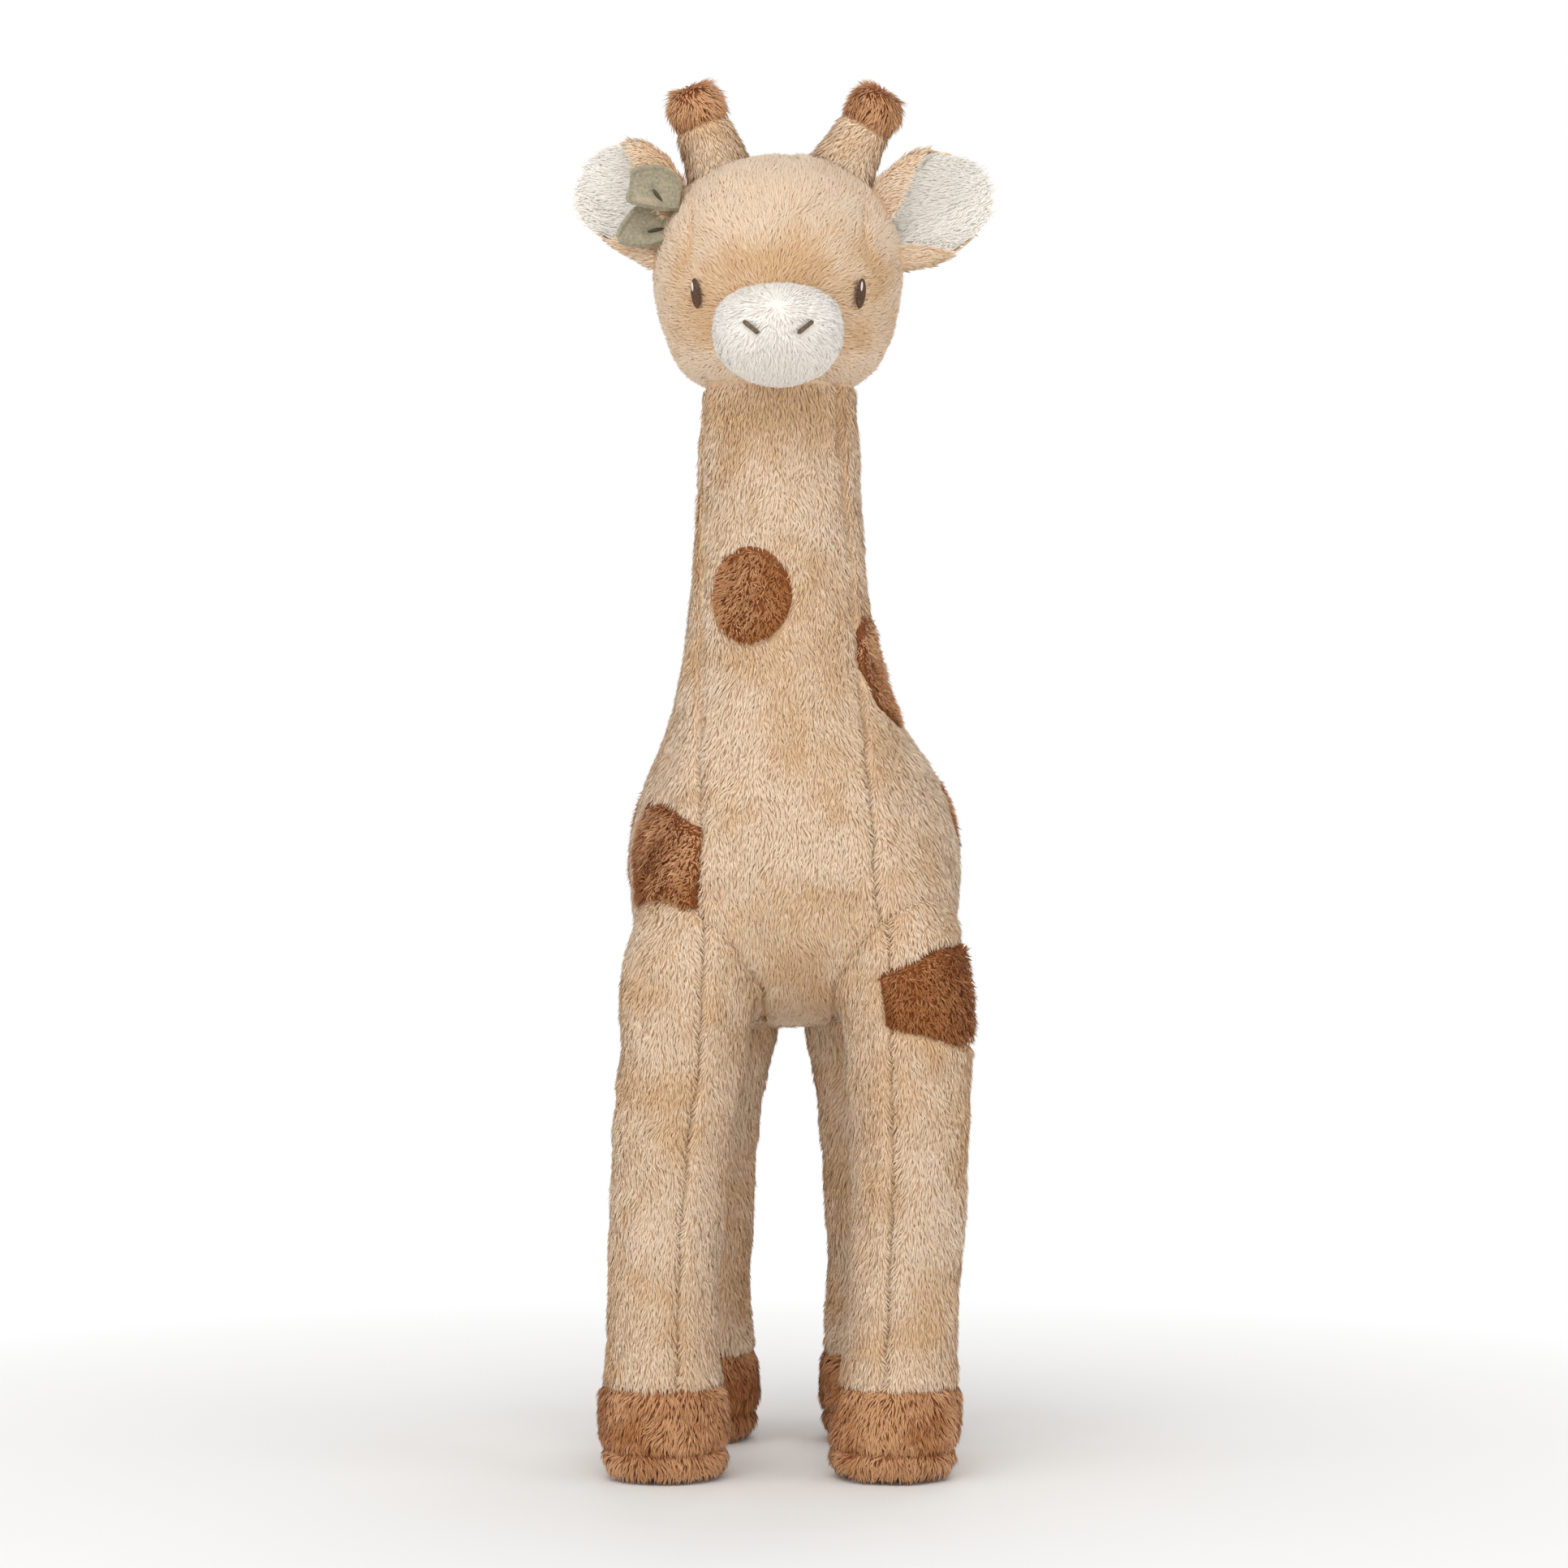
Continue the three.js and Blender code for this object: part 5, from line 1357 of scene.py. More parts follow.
def build_head(giraffe):
    """The crown panel and the two side panels of the head, which meet along the seams beside the eyes."""
    g, h = giraffe, giraffe.head
    half = h.crown_share * h.half_width
    low = g.up_head(h.muzzle_height_share)
    x = g.neck.x

    def seams(points):
        up = (points[:, 2] - g.seat) / h.height
        bow = 1.4 * MM * np.cos((up - 0.66) * 12)
        sides = np.abs(np.abs(points[:, 0] - x) - half + bow)
        faded = 4 * MM * np.clip((0.52 - up) / 0.1, 0, 1) + 3 * MM * np.clip((up - 0.74) / 0.12, 0, 1)
        middle = 1.5 * MM + np.abs(points[:, 0] - x)
        return np.where(points[:, 2] > low, np.hypot(sides, faded + 0.8 * MM), middle)

    def brushed(points):
        off = (points - np.array(g.muzzle_at)) / (h.muzzle_half_width, 1, h.muzzle_half_height)
        round_muzzle = np.hypot(off[:, 0], off[:, 2]) - 1
        band = bump(round_muzzle - 0.1, 0.55) * (off[:, 2] > -0.2)
        pale = np.clip((points[:, 2] - g.up_head(0.5)) / (20 * MM), 0, 1)
        temple = bump(seams(points), 5 * MM) * bump(points[:, 2] - g.up_head(0.56), 14 * MM)
        return 0.4 * band + 0.5 * temple - 0.35 * pale

    planes = [((at, 0, 0), (1, 0, 0)) for at in (x - half, x + half, x)]
    skin = g.skull.skin(HEAD_STEP, g.pile.depth).cut([*planes, ((0, 0, low), (0, 0, 1))])
    skin = grooves(skin, seams, depth=2.0 * MM, lumps=0.5 * MM, seed=9)
    middles = skin.middles()
    crown = (np.abs(middles[:, 0] - x) < half) & (middles[:, 2] > low)
    left = middles[:, 0] > x
    eyes = [eye_spot(g, side) for side in (1, -1)]

    def keep(points):
        kept = ~g.muzzle.holds(points, -HEAD_IN_MUZZLE)
        for spot in eyes:
            kept &= eye_distance(g, points, spot) > 0.5 * MM
        return kept

    def flow(points, normals):
        return along_surface(points - np.array(g.muzzle_at), normals)

    panels = {
        "head_crown_panel": crown,
        "head_side_panel_left": ~crown & left,
        "head_side_panel_right": ~crown & ~left,
    }
    style = dict(seams=seams, keep=keep, flow=flow, brushed=brushed, **STYLES["head"])
    for salt, (name, chosen) in enumerate(panels.items()):
        cover(g, name, "head", "beige", skin.panel(chosen), 60 + salt, **style)


def eye_spot(giraffe, side):
    """(middle, across, up, out) of an eye, from the middle of the head."""
    h = giraffe.head
    turn = side * h.eye_bearing
    at = np.array([giraffe.neck.x, giraffe.neck.y, giraffe.up_head(h.eye_share)])
    across = np.array([math.cos(turn), math.sin(turn), 0])
    return at, across, np.array([0, 0, 1.0]), np.array([math.sin(turn), -math.cos(turn), 0])


def eye_distance(giraffe, points, spot):
    """About how far a point is outside an eye's outline."""
    h = giraffe.head
    at, across, up, out = spot
    off = points - at
    flat = np.stack([off @ across / (h.eye_width / 2), off @ up / (h.eye_height / 2)], 1)
    reach = (np.linalg.norm(flat, axis=1) - 1) * h.eye_width / 2
    return np.where(off @ out > 0, reach, 1.0)


def build_muzzle(giraffe):
    """The cream cover of the muzzle, whose pile parts at its top and leaves room for the nostrils."""
    g = giraffe
    skin = g.muzzle.skin(SMALL_STEP, g.pile.depth)
    skin = skin.pushed(0.3 * MM * noise(skin.points, 11 * MM, 31))
    middles = skin.middles()
    clear = ~g.skull.holds(middles, -BACKING_REACH)

    def keep(points):
        kept = ~g.skull.holds(points, -PILE_REACH)
        for side in (1, -1):
            kept &= nostril_distance(g, points, side) > 0.7 * MM
        return kept

    def flow(points, normals):
        parting = np.array([g.muzzle_at.x, g.muzzle_at.y - PARTING_FRONT, g.muzzle_at.z + PARTING_UP])
        return along_surface(points - parting, normals)

    style = dict(flow=flow, keep=keep, **STYLES["muzzle"])
    cover(g, "muzzle_cover", "head", "cream", skin.panel(clear), 70, **style)


def nostril_frame(giraffe, side):
    """(middle, along, up) of a nostril."""
    h, at = giraffe.head, giraffe.muzzle_at
    slope = side * h.nostril_slope
    middle = np.array([at.x + side * h.nostril_side, at.y, at.z + 0.5 * MM])
    along = np.array([math.cos(slope), 0, math.sin(slope)])
    return middle, along, np.array([-along[2], 0, along[0]])


def nostril_distance(giraffe, points, side):
    """How far a point is outside a nostril's outline."""
    h = giraffe.head
    middle, along, up = nostril_frame(giraffe, side)
    off = points - middle
    reach = h.nostril_length / 2 - h.nostril_width / 2
    past = np.maximum(np.abs(off @ along) - reach, 0)
    return np.where(off[:, 1] < 0, np.hypot(past, off @ up) - h.nostril_width / 2, 1.0)


def surface_depth(form, points, way, far=120 * MM):
    """How far along a way from inside a form its surface lies, for each point."""
    low, high = np.zeros(len(points)), np.full(len(points), far)
    for _ in range(26):
        middle = (low + high) / 2
        inside = form.holds(points + middle[:, None] * way)
        low, high = np.where(inside, middle, low), np.where(inside, high, middle)
    return (low + high) / 2


def satin(form, outline, spot, rise, ridge, tilt, count=46, sunk=0.0):
    """A field of satin stitch inside an outline on a form: a crowned pad whose ridges are the threads."""
    at, across, up, out = spot
    grid = np.linspace(-1, 1, count)
    s, t = np.meshgrid(grid, grid)
    disc_x = s * np.sqrt(1 - t**2 / 2)
    disc_y = t * np.sqrt(1 - s**2 / 2)
    flat_x, flat_y = outline(disc_x.ravel(), disc_y.ravel())
    base = at + flat_x[:, None] * across + flat_y[:, None] * up
    depth = surface_depth(form, base, out)
    edge = 1 - np.hypot(disc_x, disc_y).ravel()
    threads = np.sin((flat_y + flat_x * math.tan(tilt)) / ridge * math.pi)
    crown = rise * np.sqrt(np.clip(edge * 2.2, 0, 1)) + THREAD_RELIEF * threads * (edge > 0.05)
    points = base + (depth + crown - sunk)[:, None] * out
    i = np.arange(count - 1)
    a = (i[:, None] * count + i).ravel()
    tris = np.vstack([np.stack([a, a + 1, a + count + 1], 1), np.stack([a, a + count + 1, a + count], 1)])
    return Skin(points, tris)


def build_eyes(giraffe):
    """The embroidered eyes, each with a white glint."""
    g, h = giraffe, giraffe.head
    rayon = "Rayon embroidery thread"
    brown = stitched_thread(f"{rayon}, brown satin stitch", g.pile.thread, linear(0x2E1A10), 0.5)
    white = stitched_thread(f"{rayon}, white satin stitch", linear(0xF3F1EC), linear(0xD8D3CA), 0.5)
    for name, side in SIDES:
        spot = eye_spot(g, side)

        def oval(x, y):
            return x * h.eye_width / 2, y * h.eye_height / 2

        def glint(x, y):
            return h.eye_width * (0.1 * x - 0.14), h.eye_height * (0.16 * y + 0.22)

        pad = satin(g.skull, oval, spot, PAD_RISE, PAD_RIDGE, PAD_TILT).thick(PAD_THICKNESS)
        make_piece(f"eye_{name}_embroidery", "head", [f"eye_{name}"], pad, brown)
        spark = satin(g.skull, glint, spot, GLINT_RISE, GLINT_RIDGE, PAD_TILT, 20)
        spark.points = spark.points + GLINT_OUT * spot[3]
        spark = spark.thick(GLINT_THICKNESS)
        make_piece(f"eye_{name}_glint", "head", [], spark, white)


def build_nostrils(giraffe):
    """The embroidered nostrils: slanting bars of stitches, drawn into the muzzle."""
    g, h = giraffe, giraffe.head
    thread = "Cotton embroidery thread, dark back stitch"
    dark = stitched_thread(thread, linear(0x7C664A), linear(0x4A3826), 0.6)
    for name, side in SIDES:
        middle, along, up = nostril_frame(g, side)
        spot = (middle, along, up, np.array([0, -1.0, 0]))

        def bar(x, y):
            reach = h.nostril_length / 2 - h.nostril_width / 2
            drawn = np.sign(x) * reach * np.clip(np.abs(x) * 3, 0, 1)
            return x * h.nostril_width / 2 + drawn, y * h.nostril_width / 2

        pad = satin(g.muzzle, bar, spot, BAR_RISE, BAR_RIDGE, BAR_TILT, 40, BAR_SUNK)
        pad = pad.thick(BAR_THICKNESS)
        make_piece(f"nostril_{name}_stitches", "head", [f"nostril_{name}"], pad, dark)


def horn_form(giraffe, side_share, lean, sunk):
    """The form of a horn, from its place in HORNS."""
    g, h = giraffe, giraffe.head
    at = Vector((g.neck.x + side_share * h.half_width, g.neck.y - h.horn_front, g.up_head(h.horn_share)))
    nod = Matrix.Rotation(h.horn_nod, 4, "X")
    placed = Matrix.Translation(at) @ nod @ Matrix.Rotation(math.radians(lean), 4, "Y")
    rings = []
    for up, wide in HORN_RING_SHARES:
        rings.append((up * h.horn_length - sunk, 0, 0, wide * h.horn_radius, wide * h.horn_radius, 2))
    return Form(rings, placed)


def build_horns(giraffe):
    """A beige cover and a brown tip for each horn."""
    g, h = giraffe, giraffe.head
    for number, (name, placing) in enumerate(HORNS.items()):
        form = horn_form(g, *placing)
        placed = form.placed
        axis = np.array(placed.to_3x3() @ Vector((0, 0, 1)))
        seam_at = np.array(placed @ Vector((0, 0, h.horn_length - h.horn_tip - placing[2])))

        def seams(points, at=seam_at, axis=axis):
            return np.abs((points - at) @ axis)

        def flow(points, normals, axis=axis):
            return along_surface(np.tile(-axis, (len(points), 1)), normals)

        skin = form.skin(SMALL_STEP, g.pile.depth).cut([(seam_at, axis)])
        skin = grooves(skin, seams, depth=1.0 * MM, lumps=0.5 * MM, seed=40 + number)
        middles = skin.middles()
        high = (middles - seam_at) @ axis > 0
        clear = ~g.skull.holds(middles, -BACKING_REACH)

        def keep(points):
            return ~g.skull.holds(points, -PILE_REACH)

        shared = dict(seams=seams, keep=keep, flow=flow)
        for part, shade, panel, salt in (
            ("horn_cover", "beige", skin.panel(~high & clear), 80),
            ("horn_tip", "brown", skin.panel(high), 84),
        ):
            cover(g, f"{part}_{name}", "head", shade, panel, salt + number, **shared, **STYLES[part])


def ear_frame(giraffe, side):
    """The frame of an ear's root, whose X points out along the ear."""
    g, e = giraffe, giraffe.ears
    x = g.neck.x + side * e.side_share * g.head.half_width
    at = Vector((x, g.neck.y + e.back, g.up_head(e.height_share)))
    placed = Matrix.Translation(at) @ Matrix.Rotation(-side * e.tilt, 4, "Y")
    return placed @ Matrix.Diagonal((side, 1, 1, 1))


def rows_skin(x, y, z, placed, facing):
    """A skin over rows of points, put in its place, that faces one way or the other."""
    rows, columns = x.shape
    points = moved(np.stack([x, y, z], 2).reshape(-1, 3), placed)
    a = (np.arange(rows - 1)[:, None] * columns + np.arange(columns - 1)).ravel()
    b = a + columns
    tris = np.vstack([np.stack([a, b, b + 1], 1), np.stack([a, b + 1, a + 1], 1)])
    flip = facing != (placed.to_3x3().determinant() < 0)
    return Skin(points, tris[:, ::-1] if flip else tris)


def rounded_rim(skin, columns):
    """The skin with the normals at its sides and its far end turned outward."""
    grid = skin.points.reshape(-1, columns, 3)
    normals = skin.normals.reshape(-1, columns, 3).copy()
    for edge, inner in ((0, 1), (-1, -2)):
        normals[:, edge] += unit(grid[:, edge] - grid[:, inner])
    normals[-1] += unit(grid[-1] - grid[-2])
    return Skin(skin.points, skin.tris, unit(normals.reshape(-1, 3)))


def folded_half(reach, lip, start, edge, count=30):
    """Half of an ear's sections, out from its valley to the edge and back over it along the lip: how far
    forward and how far out each point lies."""
    flat = reach * 1.08
    along = np.linspace(0, 1, count) * (flat + lip)[:, None]
    part = np.clip(along / flat[:, None], 0, 1)
    over = np.clip((along - flat[:, None] + 1.4 * MM) / (3.6 * MM), 0, 1)
    over = over * over * (3 - 2 * over) * np.clip((lip[:, None] - 0.6 * MM) / (2 * MM), 0, 1)
    turn = start[:, None] + (edge - start)[:, None] * part
    turn = turn + (math.radians(172) - turn) * over
    step = np.diff(along, axis=1)
    forward, out = (
        np.cumsum(step * (f[:, 1:] + f[:, :-1]) / 2, axis=1) for f in (np.sin(turn), np.cos(turn))
    )
    start_at = np.zeros((len(reach), 1))
    forward, out = np.hstack([start_at, forward]), np.hstack([start_at, out])
    return forward, out * (reach / out.max(1))[:, None]


def ear_plies(giraffe, name, placed):
    """The outer faces of an ear's beige back and cream lining."""
    e = giraffe.ears
    rows = smooth_rows(EAR_RIBS[name], EAR_SECTIONS)
    low, low_lip, high, high_lip = (rows[:, k] * e.half_width for k in (1, 2, 3, 4))
    shut = np.clip((rows[-1, 0] - rows[:, 0]) / 0.3, 0, 1)
    valley = between((low + high) / 2, (0.3 * rows[:, 0] - 0.2) * e.half_width, shut)
    start, edge = np.radians(6 + 13 * shut), np.radians(12 + 25 * shut)
    halves = []
    for reach, lip, sign in ((valley - low, low_lip, -1), (high - valley, high_lip, 1)):
        forward, out = folded_half(reach, np.maximum(lip, 0.3 * MM), start, edge)
        halves.append((-forward, valley[:, None] + sign * out))
    y, z = (np.hstack([halves[0][k][:, :0:-1], halves[1][k]]) for k in (0, 1))
    x = np.repeat(rows[:, :1] * e.length, y.shape[1], 1)
    made = []
    for facing in (True, False):
        ply = rows_skin(x, y, z, placed, facing)
        made.append(rounded_rim(ply.pushed(1.0 * MM), y.shape[1]))
    return made


def rim_gap(points, rim):
    """How far points lie from the nearest of the rim's points."""
    return np.linalg.norm(points[:, None] - rim, axis=2).min(1)


def build_ears(giraffe):
    """The beige back and the cream lining of each ear."""
    g = giraffe
    for number, (name, side) in enumerate(SIDES):
        placed = ear_frame(g, side)
        out = np.array(placed.to_3x3() @ Vector((1, 0, 0)))

        def keep(points):
            return ~g.skull.holds(points, -PILE_REACH)

        def flow(points, normals, out=out):
            return along_surface(np.tile(out, (len(points), 1)), normals)

        back, lining = ear_plies(g, name, placed)
        grid = back.points.reshape(EAR_SECTIONS, -1, 3)
        far = np.vstack([grid[EAR_FAR_SECTION:, 0], grid[EAR_FAR_SECTION:, -1], grid[-1]])

        def keep_back(points, far=far):
            return keep(points) & (rim_gap(points, far) > 2.4 * MM)

        style = dict(flow=flow, **STYLES["ear"])
        for part, skin, shade, salt, kept in (
            ("back", back, "beige", 90, keep_back),
            ("lining", lining, "cream", 94, keep),
        ):
            cover(g, f"ear_{part}_{name}", f"ear_{name}", shade, skin, salt + number, keep=kept, **style)


def leaf_frame(giraffe, leaf):
    """The frame of a leaf's root, in front of the ear's."""
    out, up, front, turn, forward, _, _ = leaf
    return (
        ear_frame(giraffe, -1)
        @ Matrix.Translation((out * MM, -front * MM, up * MM))
        @ Matrix.Rotation(math.radians(turn), 4, "Y")
        @ Matrix.Rotation(math.radians(-forward), 4, "Z")
    )


def build_leaves(giraffe):
    """The two leaves of felt at the root of the right ear, each with its stitched vein."""
    g, e = giraffe, giraffe.ears
    felt = wool_felt("Wool felt, pressed", g.pile.felt)
    dark = stitched_thread("Cotton thread, run stitch", linear(0x5E5138), linear(0x3C3221), 0.5)
    for name, leaf in LEAVES.items():
        length, half_width = leaf[5] * MM, leaf[6] * MM
        placed = leaf_frame(g, leaf)
        rows = smooth_rows(LEAF_RIBS[name], 36)
        low, high = rows[:, 1:2] * half_width, rows[:, 3:4] * half_width
        across = np.linspace(-1, 1, 30)
        x = np.repeat(rows[:, :1] * length, len(across), 1)
        z = (low + high) / 2 + (high - low) / 2 * across
        deep = np.clip((high - low) / (1.8 * half_width), 0, 1)
        (x0, z0), (x1, z1) = np.array(VEINS[name]) * MM
        vein = line_distance(np.stack([x.ravel(), z.ravel()], 1), [(x0, z0), (x1, z1)]).reshape(x.shape)
        rim = np.minimum((1 - np.abs(across)) * (high - low) / 2, length - x)
        y = -e.leaf_thickness - deep * e.leaf_cup * across**2
        y = y + LEAF_PINCH * bump(vein, 1.6 * MM) + LEAF_RIM_STITCH * bump(rim - 1.4 * MM, 0.4 * MM)
        sheet = rows_skin(x, y, z, placed, False).thick(e.leaf_thickness)
        piece = make_piece(f"leaf_{name}_felt", f"leaf_{name}", [f"leaf_{name}"], sheet, felt)
        start, end = (placed @ Vector((a, -e.leaf_thickness + 0.5 * MM, c)) for a, c in ((x0, z0), (x1, z1)))
        stitch = stitch_form(start, end, 0.45 * MM).skin(0.3 * MM)
        stands_for = [f"leaf_vein_{name}"]
        make_piece(f"leaf_{name}_vein_stitch", f"leaf_{name}", stands_for, stitch, dark)


def stitch_form(start, end, radius):
    """One long stitch, drawn down at its two ends."""
    way = end - start
    placed = Matrix.Translation(start) @ way.to_track_quat("Z", "Y").to_matrix().to_4x4()
    return Form([(up * way.length, 0, 0, w * radius, w * radius, 2) for up, w in STITCH_SHARES], placed)


def build_tail(giraffe):
    """The tail, whose root runs into the rump, and its tuft."""
    g, t = giraffe, giraffe.trunk
    x = g.feet.x + t.sway
    y = g.feet.y + t.back + t.half_depth + TAIL_RADIUS - 1.5 * MM
    low = g.up_torso(TAIL_LEVEL_SHARE) + TAIL_RADIUS - TAIL_LENGTH
    length = TAIL_LENGTH + TAIL_IN_TUFT + TAIL_ROOT_RISE
    rope_rings = []
    for up, wide, lean in TAIL_RING_SHARES:
        radius = wide * TAIL_RADIUS
        z = low - TAIL_IN_TUFT + up * length
        rope_rings.append((z, x, y - lean * TAIL_ROOT_LEAN, radius, radius, 2))
    tuft_rings = []
    for up, wide in TUFT_RING_SHARES:
        radius = wide * TUFT_RADIUS
        z = low + TAIL_IN_TUFT / 2 - TUFT_LENGTH + up * TUFT_LENGTH
        tuft_rings.append((z, x, y, radius, radius, 2))

    def keep(points):
        return ~g.trunk_form.holds(points, -TAIL_IN_TRUNK)

    rope = Form(rope_rings).skin(TAIL_STEP, TAIL_PILE_DEPTH)
    tuft = Form(tuft_rings).skin(TAIL_STEP, TUFT_PILE_DEPTH)
    cover(g, "tail_cover", "tail", "beige", rope, 100, keep=keep, **STYLES["tail"])
    cover(g, "tail_tuft", "tail", "brown", tuft, 101, keep=keep, **STYLES["tuft"])


def build_neck_thread(giraffe):
    """The thread that closes the seam under the head, a twisted cord that runs in and out of the crease."""
    g, h = giraffe, giraffe.head
    radius = g.trunk.neck_top - THREAD_INSET
    reach = h.seat_radius + THREAD_DROP
    z = g.seat + h.seat_radius - math.sqrt(reach**2 - radius**2)
    around, section, twists = 240, 8, 60
    turn = np.linspace(0, 2 * math.pi, around, endpoint=False)
    points = []
    for k in range(section):
        a = 2 * math.pi * k / section
        ply = THREAD_RADIUS * (1 + 0.25 * np.cos(2 * (a + turn * twists)))
        r = radius + ply * math.cos(a)
        x, y = g.neck.x + r * np.cos(turn), g.neck.y + r * np.sin(turn)
        points.append(np.stack([x, y, z + ply * math.sin(a)], 1))
    points = np.stack(points, 1).reshape(-1, 3)
    i, k = np.arange(around)[:, None], np.arange(section)
    a = (i * section + k).ravel()
    b = (i * section + (k + 1) % section).ravel()
    c = ((i + 1) % around * section + (k + 1) % section).ravel()
    d = ((i + 1) % around * section + k).ravel()
    skin = Skin(points, np.vstack([np.stack([a, d, c], 1), np.stack([a, c, b], 1)]))
    name = "Bonded polyester thread, ladder stitch"
    thread = stitched_thread(name, linear(0xDDBF97), linear(0xB98F62), 0.6)
    make_piece("neck_seam_thread_cord", "neck_seam", ["neck_seam_thread"], skin, thread)


def build_fillings(giraffe):
    """The wadding of the body, the neck, the legs, the head, the muzzle and the horns."""
    g = giraffe
    rings = g.trunk_form.rings
    for node_name, chosen in (
        ("body_filling", rings[:, 0] < g.shoulder - FILLINGS_APART),
        ("neck_filling", rings[:, 0] > g.shoulder + FILLINGS_APART),
    ):
        rows = rings[chosen]
        rows = rows[:: max(len(rows) // FILLING_RINGS, 1)]
        ends = [np.array([1, 1, 1, narrowed, narrowed, 1]) for narrowed in FILLING_ENDS]
        first, last = ([row * end for end in ends] for row in (rows[0], rows[-1]))
        filling(node_name, "trunk", Form(np.vstack([*first, rows[1:-1], *last[::-1]])))
    for name, form in g.legs.items():
        filling(f"{name}_filling", "trunk", form)
    filling("head_filling", "head", g.skull)
    filling("muzzle_filling", "head", g.muzzle)
    for name, placing in HORNS.items():
        filling(f"horn_filling_{name}", "head", horn_form(g, *placing), HORN_FILLING_INSET)


def add_camera(scene):
    """The camera, level and straight in front of the toy."""
    s = scene.giraffe_stage
    camera = bpy.data.objects.new("Camera", bpy.data.cameras.new("Camera"))
    camera.data.sensor_width = SENSOR_WIDTH
    camera.data.lens = s.lens
    camera.location = (s.side, -s.distance, s.height)
    camera.rotation_euler = (math.radians(90), 0, 0)
    scene.collection.objects.link(camera)
    scene.camera = camera


def add_world(scene):
    """A world that the camera sees as white and that lights the toy with the ambient share of it."""
    world = bpy.data.worlds.new("Studio")
    world.use_nodes = True
    tree = world.node_tree
    tree.nodes.clear()
    seen = node(tree, "ShaderNodeLightPath")
    white = node(tree, "ShaderNodeBackground", Color=WHITE, Strength=1.0)
    around = node(tree, "ShaderNodeBackground", Color=WHITE, Strength=scene.giraffe_stage.ambient)
    mixed = node(tree, "ShaderNodeMixShader")
    tree.links.new(seen.outputs["Is Camera Ray"], mixed.inputs[0])
    tree.links.new(around.outputs[0], mixed.inputs[1])
    tree.links.new(white.outputs[0], mixed.inputs[2])
    output = node(tree, "ShaderNodeOutputWorld")
    tree.links.new(mixed.outputs[0], output.inputs["Surface"])
    scene.world = world


def add_lamps(scene):
    """The soft lamps, each aimed at the toy."""
    for name, place, aim, width in LAMPS:
        lamp = bpy.data.lights.new(name, "AREA")
        lamp.energy = getattr(scene.giraffe_stage, name.lower())
        lamp.size = width
        holder = bpy.data.objects.new(name, lamp)
        holder.location = place
        holder.rotation_euler = (Vector(aim) - Vector(place)).to_track_quat("-Z", "Y").to_euler()
        scene.collection.objects.link(holder)


def white_paper(colour):
    """Matt white paper, rolled out, that fades into the white world far from the toy."""
    made, tree = material("Matt white paper, rolled")
    where = node(tree, "ShaderNodeTexCoord")
    far = node(tree, "ShaderNodeVectorMath", {"operation": "LENGTH"}, _0=where.outputs["Object"])
    near, off = PAPER_FADE
    fade = node(tree, "ShaderNodeMapRange", Value=far.outputs["Value"], From_Min=near, From_Max=off)
    ray = node(tree, "ShaderNodeLightPath")
    seen = ray.outputs["Is Camera Ray"]
    both = node(tree, "ShaderNodeMath", {"operation": "MULTIPLY"}, _0=fade.outputs[0], _1=seen)
    paper = node(
        tree, "ShaderNodeBsdfPrincipled", Base_Color=four(colour), Roughness=0.9, Specular_IOR_Level=0.1
    )
    bright = node(tree, "ShaderNodeEmission", Color=WHITE, Strength=1.0)
    blend = node(tree, "ShaderNodeMixShader")
    tree.links.new(both.outputs[0], blend.inputs[0])
    tree.links.new(paper.outputs[0], blend.inputs[1])
    tree.links.new(bright.outputs[0], blend.inputs[2])
    surface(tree, blend)
    return made


def add_floor(scene):
    """The floor under the toy."""
    mesh = bpy.data.meshes.new("Floor")
    corners = [(x * FLOOR_REACH, y * FLOOR_REACH, 0) for x, y in ((-1, -1), (1, -1), (1, 1), (-1, 1))]
    mesh.from_pydata(corners, [], [(0, 1, 2, 3)])
    floor = bpy.data.objects.new("Floor", mesh)
    mesh.materials.append(white_paper(scene.giraffe_stage.floor))
    scene.collection.objects.link(floor)


def build_stage(scene):
    """The camera, the white world, the lamps and the floor."""
    scene.view_settings.view_transform = "Standard"
    add_camera(scene)
    add_world(scene)
    add_lamps(scene)
    add_floor(scene)


class StageOperator(bpy.types.Operator):
    """Lays the floor, hangs the soft lights and places the camera"""

    bl_idname = "giraffe.stage"
    bl_label = "Stage"

    def execute(self, context):
        build_stage(context.scene)
        return {"FINISHED"}


class PieceOperator:
    """What the operators that sew a piece share."""

    def execute(self, context):
        type(self).build(Giraffe(context.scene))
        return {"FINISHED"}


class TrunkOperator(PieceOperator, bpy.types.Operator):
    """Sews the three panels of the trunk and its brown patches"""

    bl_idname = "giraffe.trunk"
    bl_label = "Trunk"
    build = staticmethod(build_trunk)


class LegsOperator(PieceOperator, bpy.types.Operator):
    """Sews the four legs with their hooves and soles"""

    bl_idname = "giraffe.legs"
    bl_label = "Legs"
    build = staticmethod(build_legs)


class HeadOperator(PieceOperator, bpy.types.Operator):
    """Sews the crown and the cheeks"""

    bl_idname = "giraffe.head"
    bl_label = "Head"
    build = staticmethod(build_head)


class MuzzleOperator(PieceOperator, bpy.types.Operator):
    """Sews the cream muzzle"""

    bl_idname = "giraffe.muzzle"
    bl_label = "Muzzle"
    build = staticmethod(build_muzzle)


class EyesOperator(PieceOperator, bpy.types.Operator):
    """Embroiders the eyes"""

    bl_idname = "giraffe.eyes"
    bl_label = "Eyes"
    build = staticmethod(build_eyes)


class NostrilsOperator(PieceOperator, bpy.types.Operator):
    """Stitches the nostrils"""

    bl_idname = "giraffe.nostrils"
    bl_label = "Nostrils"
    build = staticmethod(build_nostrils)


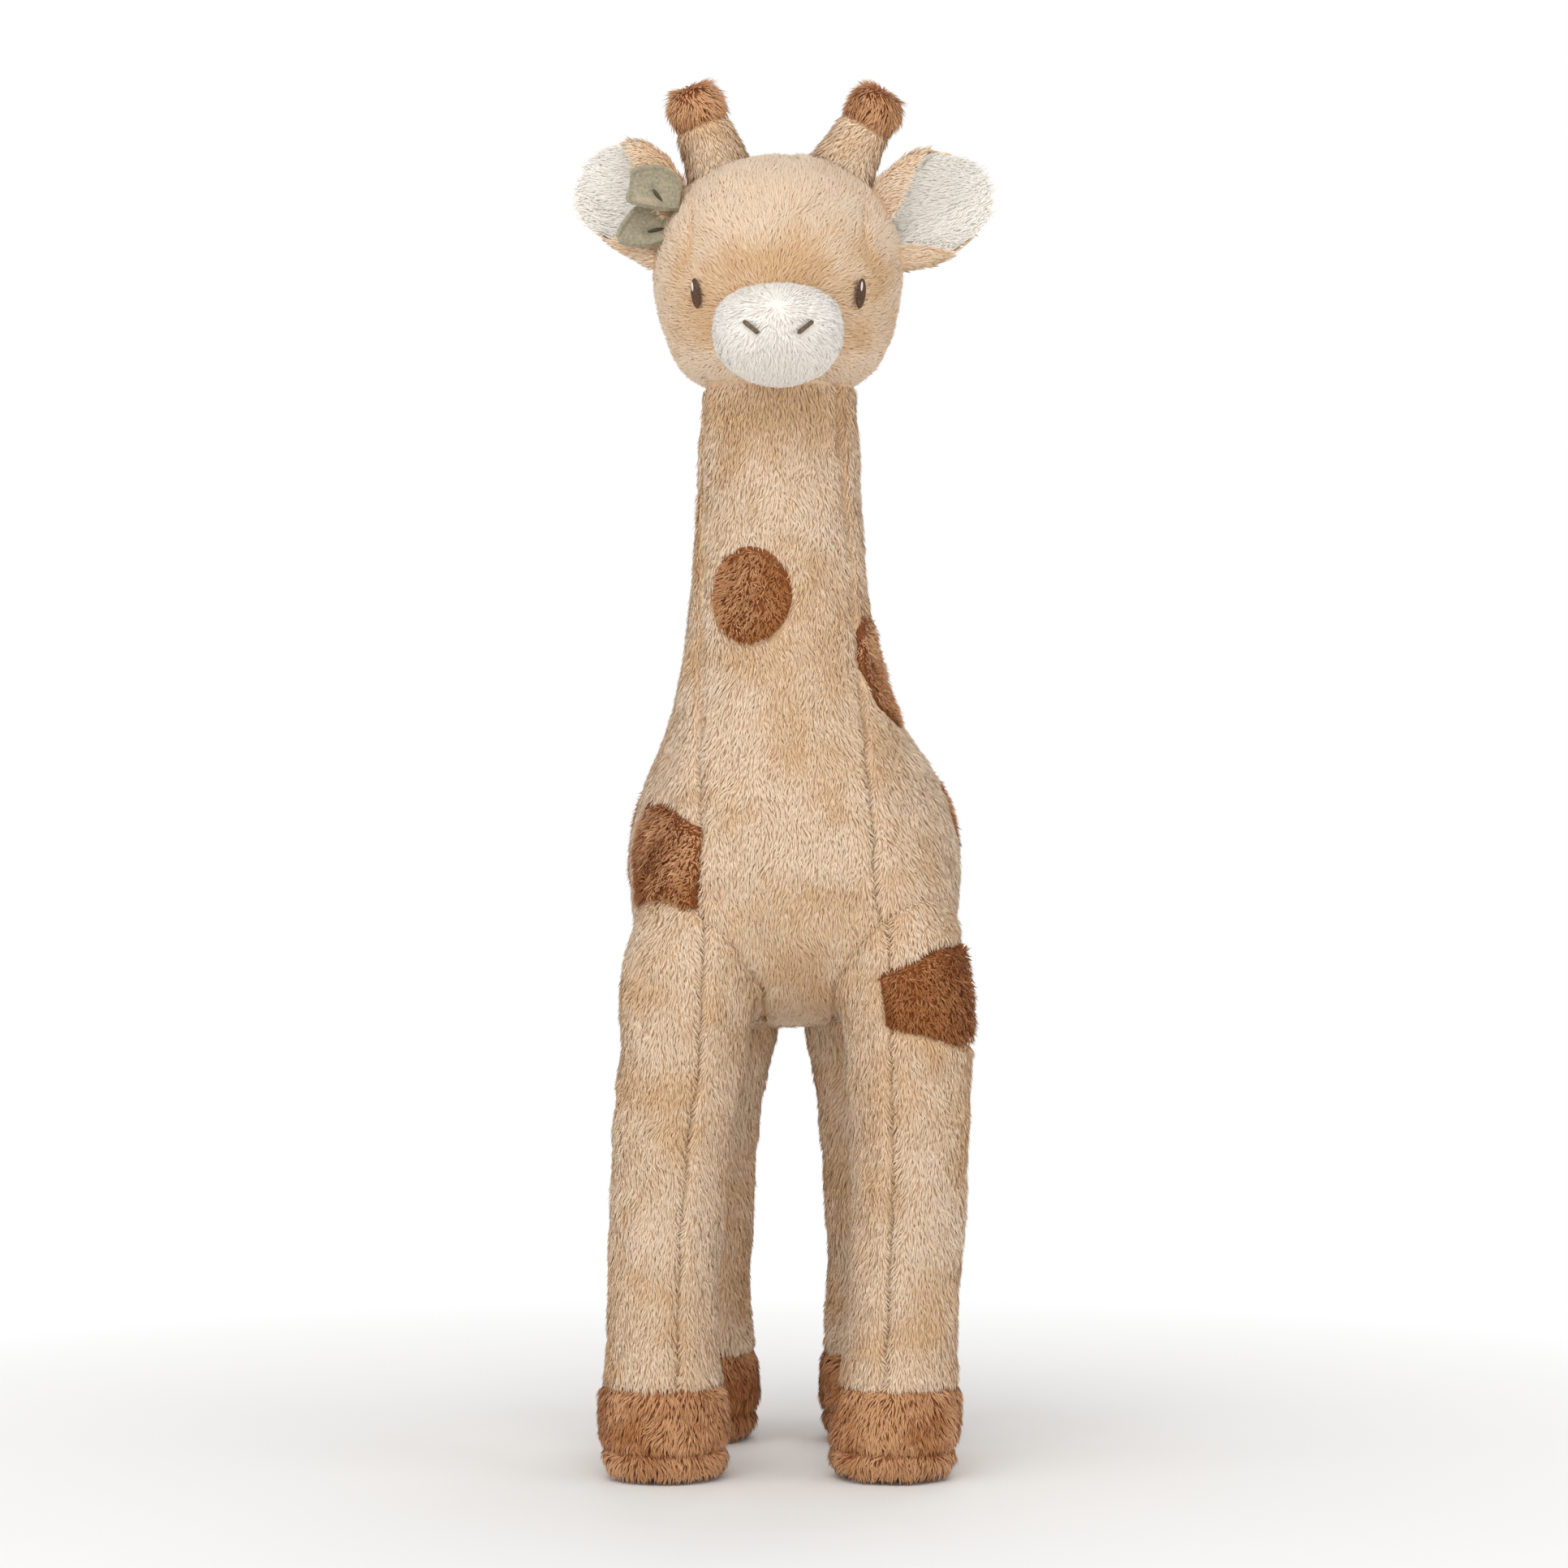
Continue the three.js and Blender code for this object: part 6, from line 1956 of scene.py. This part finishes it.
class HornsOperator(PieceOperator, bpy.types.Operator):
    """Sews the horns"""

    bl_idname = "giraffe.horns"
    bl_label = "Horns"
    build = staticmethod(build_horns)


class EarsOperator(PieceOperator, bpy.types.Operator):
    """Sews the ears"""

    bl_idname = "giraffe.ears"
    bl_label = "Ears"
    build = staticmethod(build_ears)


class LeavesOperator(PieceOperator, bpy.types.Operator):
    """Cuts the felt leaves and stitches their veins"""

    bl_idname = "giraffe.leaves"
    bl_label = "Leaves"
    build = staticmethod(build_leaves)


class TailOperator(PieceOperator, bpy.types.Operator):
    """Sews the tail"""

    bl_idname = "giraffe.tail"
    bl_label = "Tail"
    build = staticmethod(build_tail)


class NeckThreadOperator(PieceOperator, bpy.types.Operator):
    """Runs the thread round the seam under the head"""

    bl_idname = "giraffe.neck_thread"
    bl_label = "Neck seam thread"
    build = staticmethod(build_neck_thread)


class FillingsOperator(PieceOperator, bpy.types.Operator):
    """Stuffs the covers"""

    bl_idname = "giraffe.fillings"
    bl_label = "Fillings"
    build = staticmethod(build_fillings)


OPERATORS = (
    StageOperator,
    TrunkOperator,
    LegsOperator,
    HeadOperator,
    MuzzleOperator,
    EyesOperator,
    NostrilsOperator,
    HornsOperator,
    EarsOperator,
    LeavesOperator,
    TailOperator,
    NeckThreadOperator,
    FillingsOperator,
)


class GiraffePanel(bpy.types.Panel):
    """Lists the giraffe's pieces and its settings"""

    bl_idname = "GIRAFFE_PT_pieces"
    bl_label = "Plush giraffe"
    bl_space_type = "VIEW_3D"
    bl_region_type = "UI"
    bl_category = "Plush giraffe"

    def draw(self, context):
        for operator in OPERATORS:
            self.layout.operator(operator.bl_idname)
        for name, group in SETTINGS.items():
            box = self.layout.box()
            box.label(text=group.__name__.removesuffix("Settings"))
            for field in group.__annotations__:
                box.prop(getattr(context.scene, name), field)


def register():
    for group in SETTINGS.values():
        bpy.utils.register_class(group)
    for name, group in SETTINGS.items():
        setattr(bpy.types.Scene, name, PointerProperty(type=group))
    for operator in (*OPERATORS, GiraffePanel):
        bpy.utils.register_class(operator)


def unregister():
    for operator in reversed((*OPERATORS, GiraffePanel)):
        bpy.utils.unregister_class(operator)
    for name, group in reversed(SETTINGS.items()):
        delattr(bpy.types.Scene, name)
        bpy.utils.unregister_class(group)


def main():
    register()
    for operator in OPERATORS:
        group, name = operator.bl_idname.split(".")
        getattr(getattr(bpy.ops, group), name)()


if __name__ == "__main__":
    main()
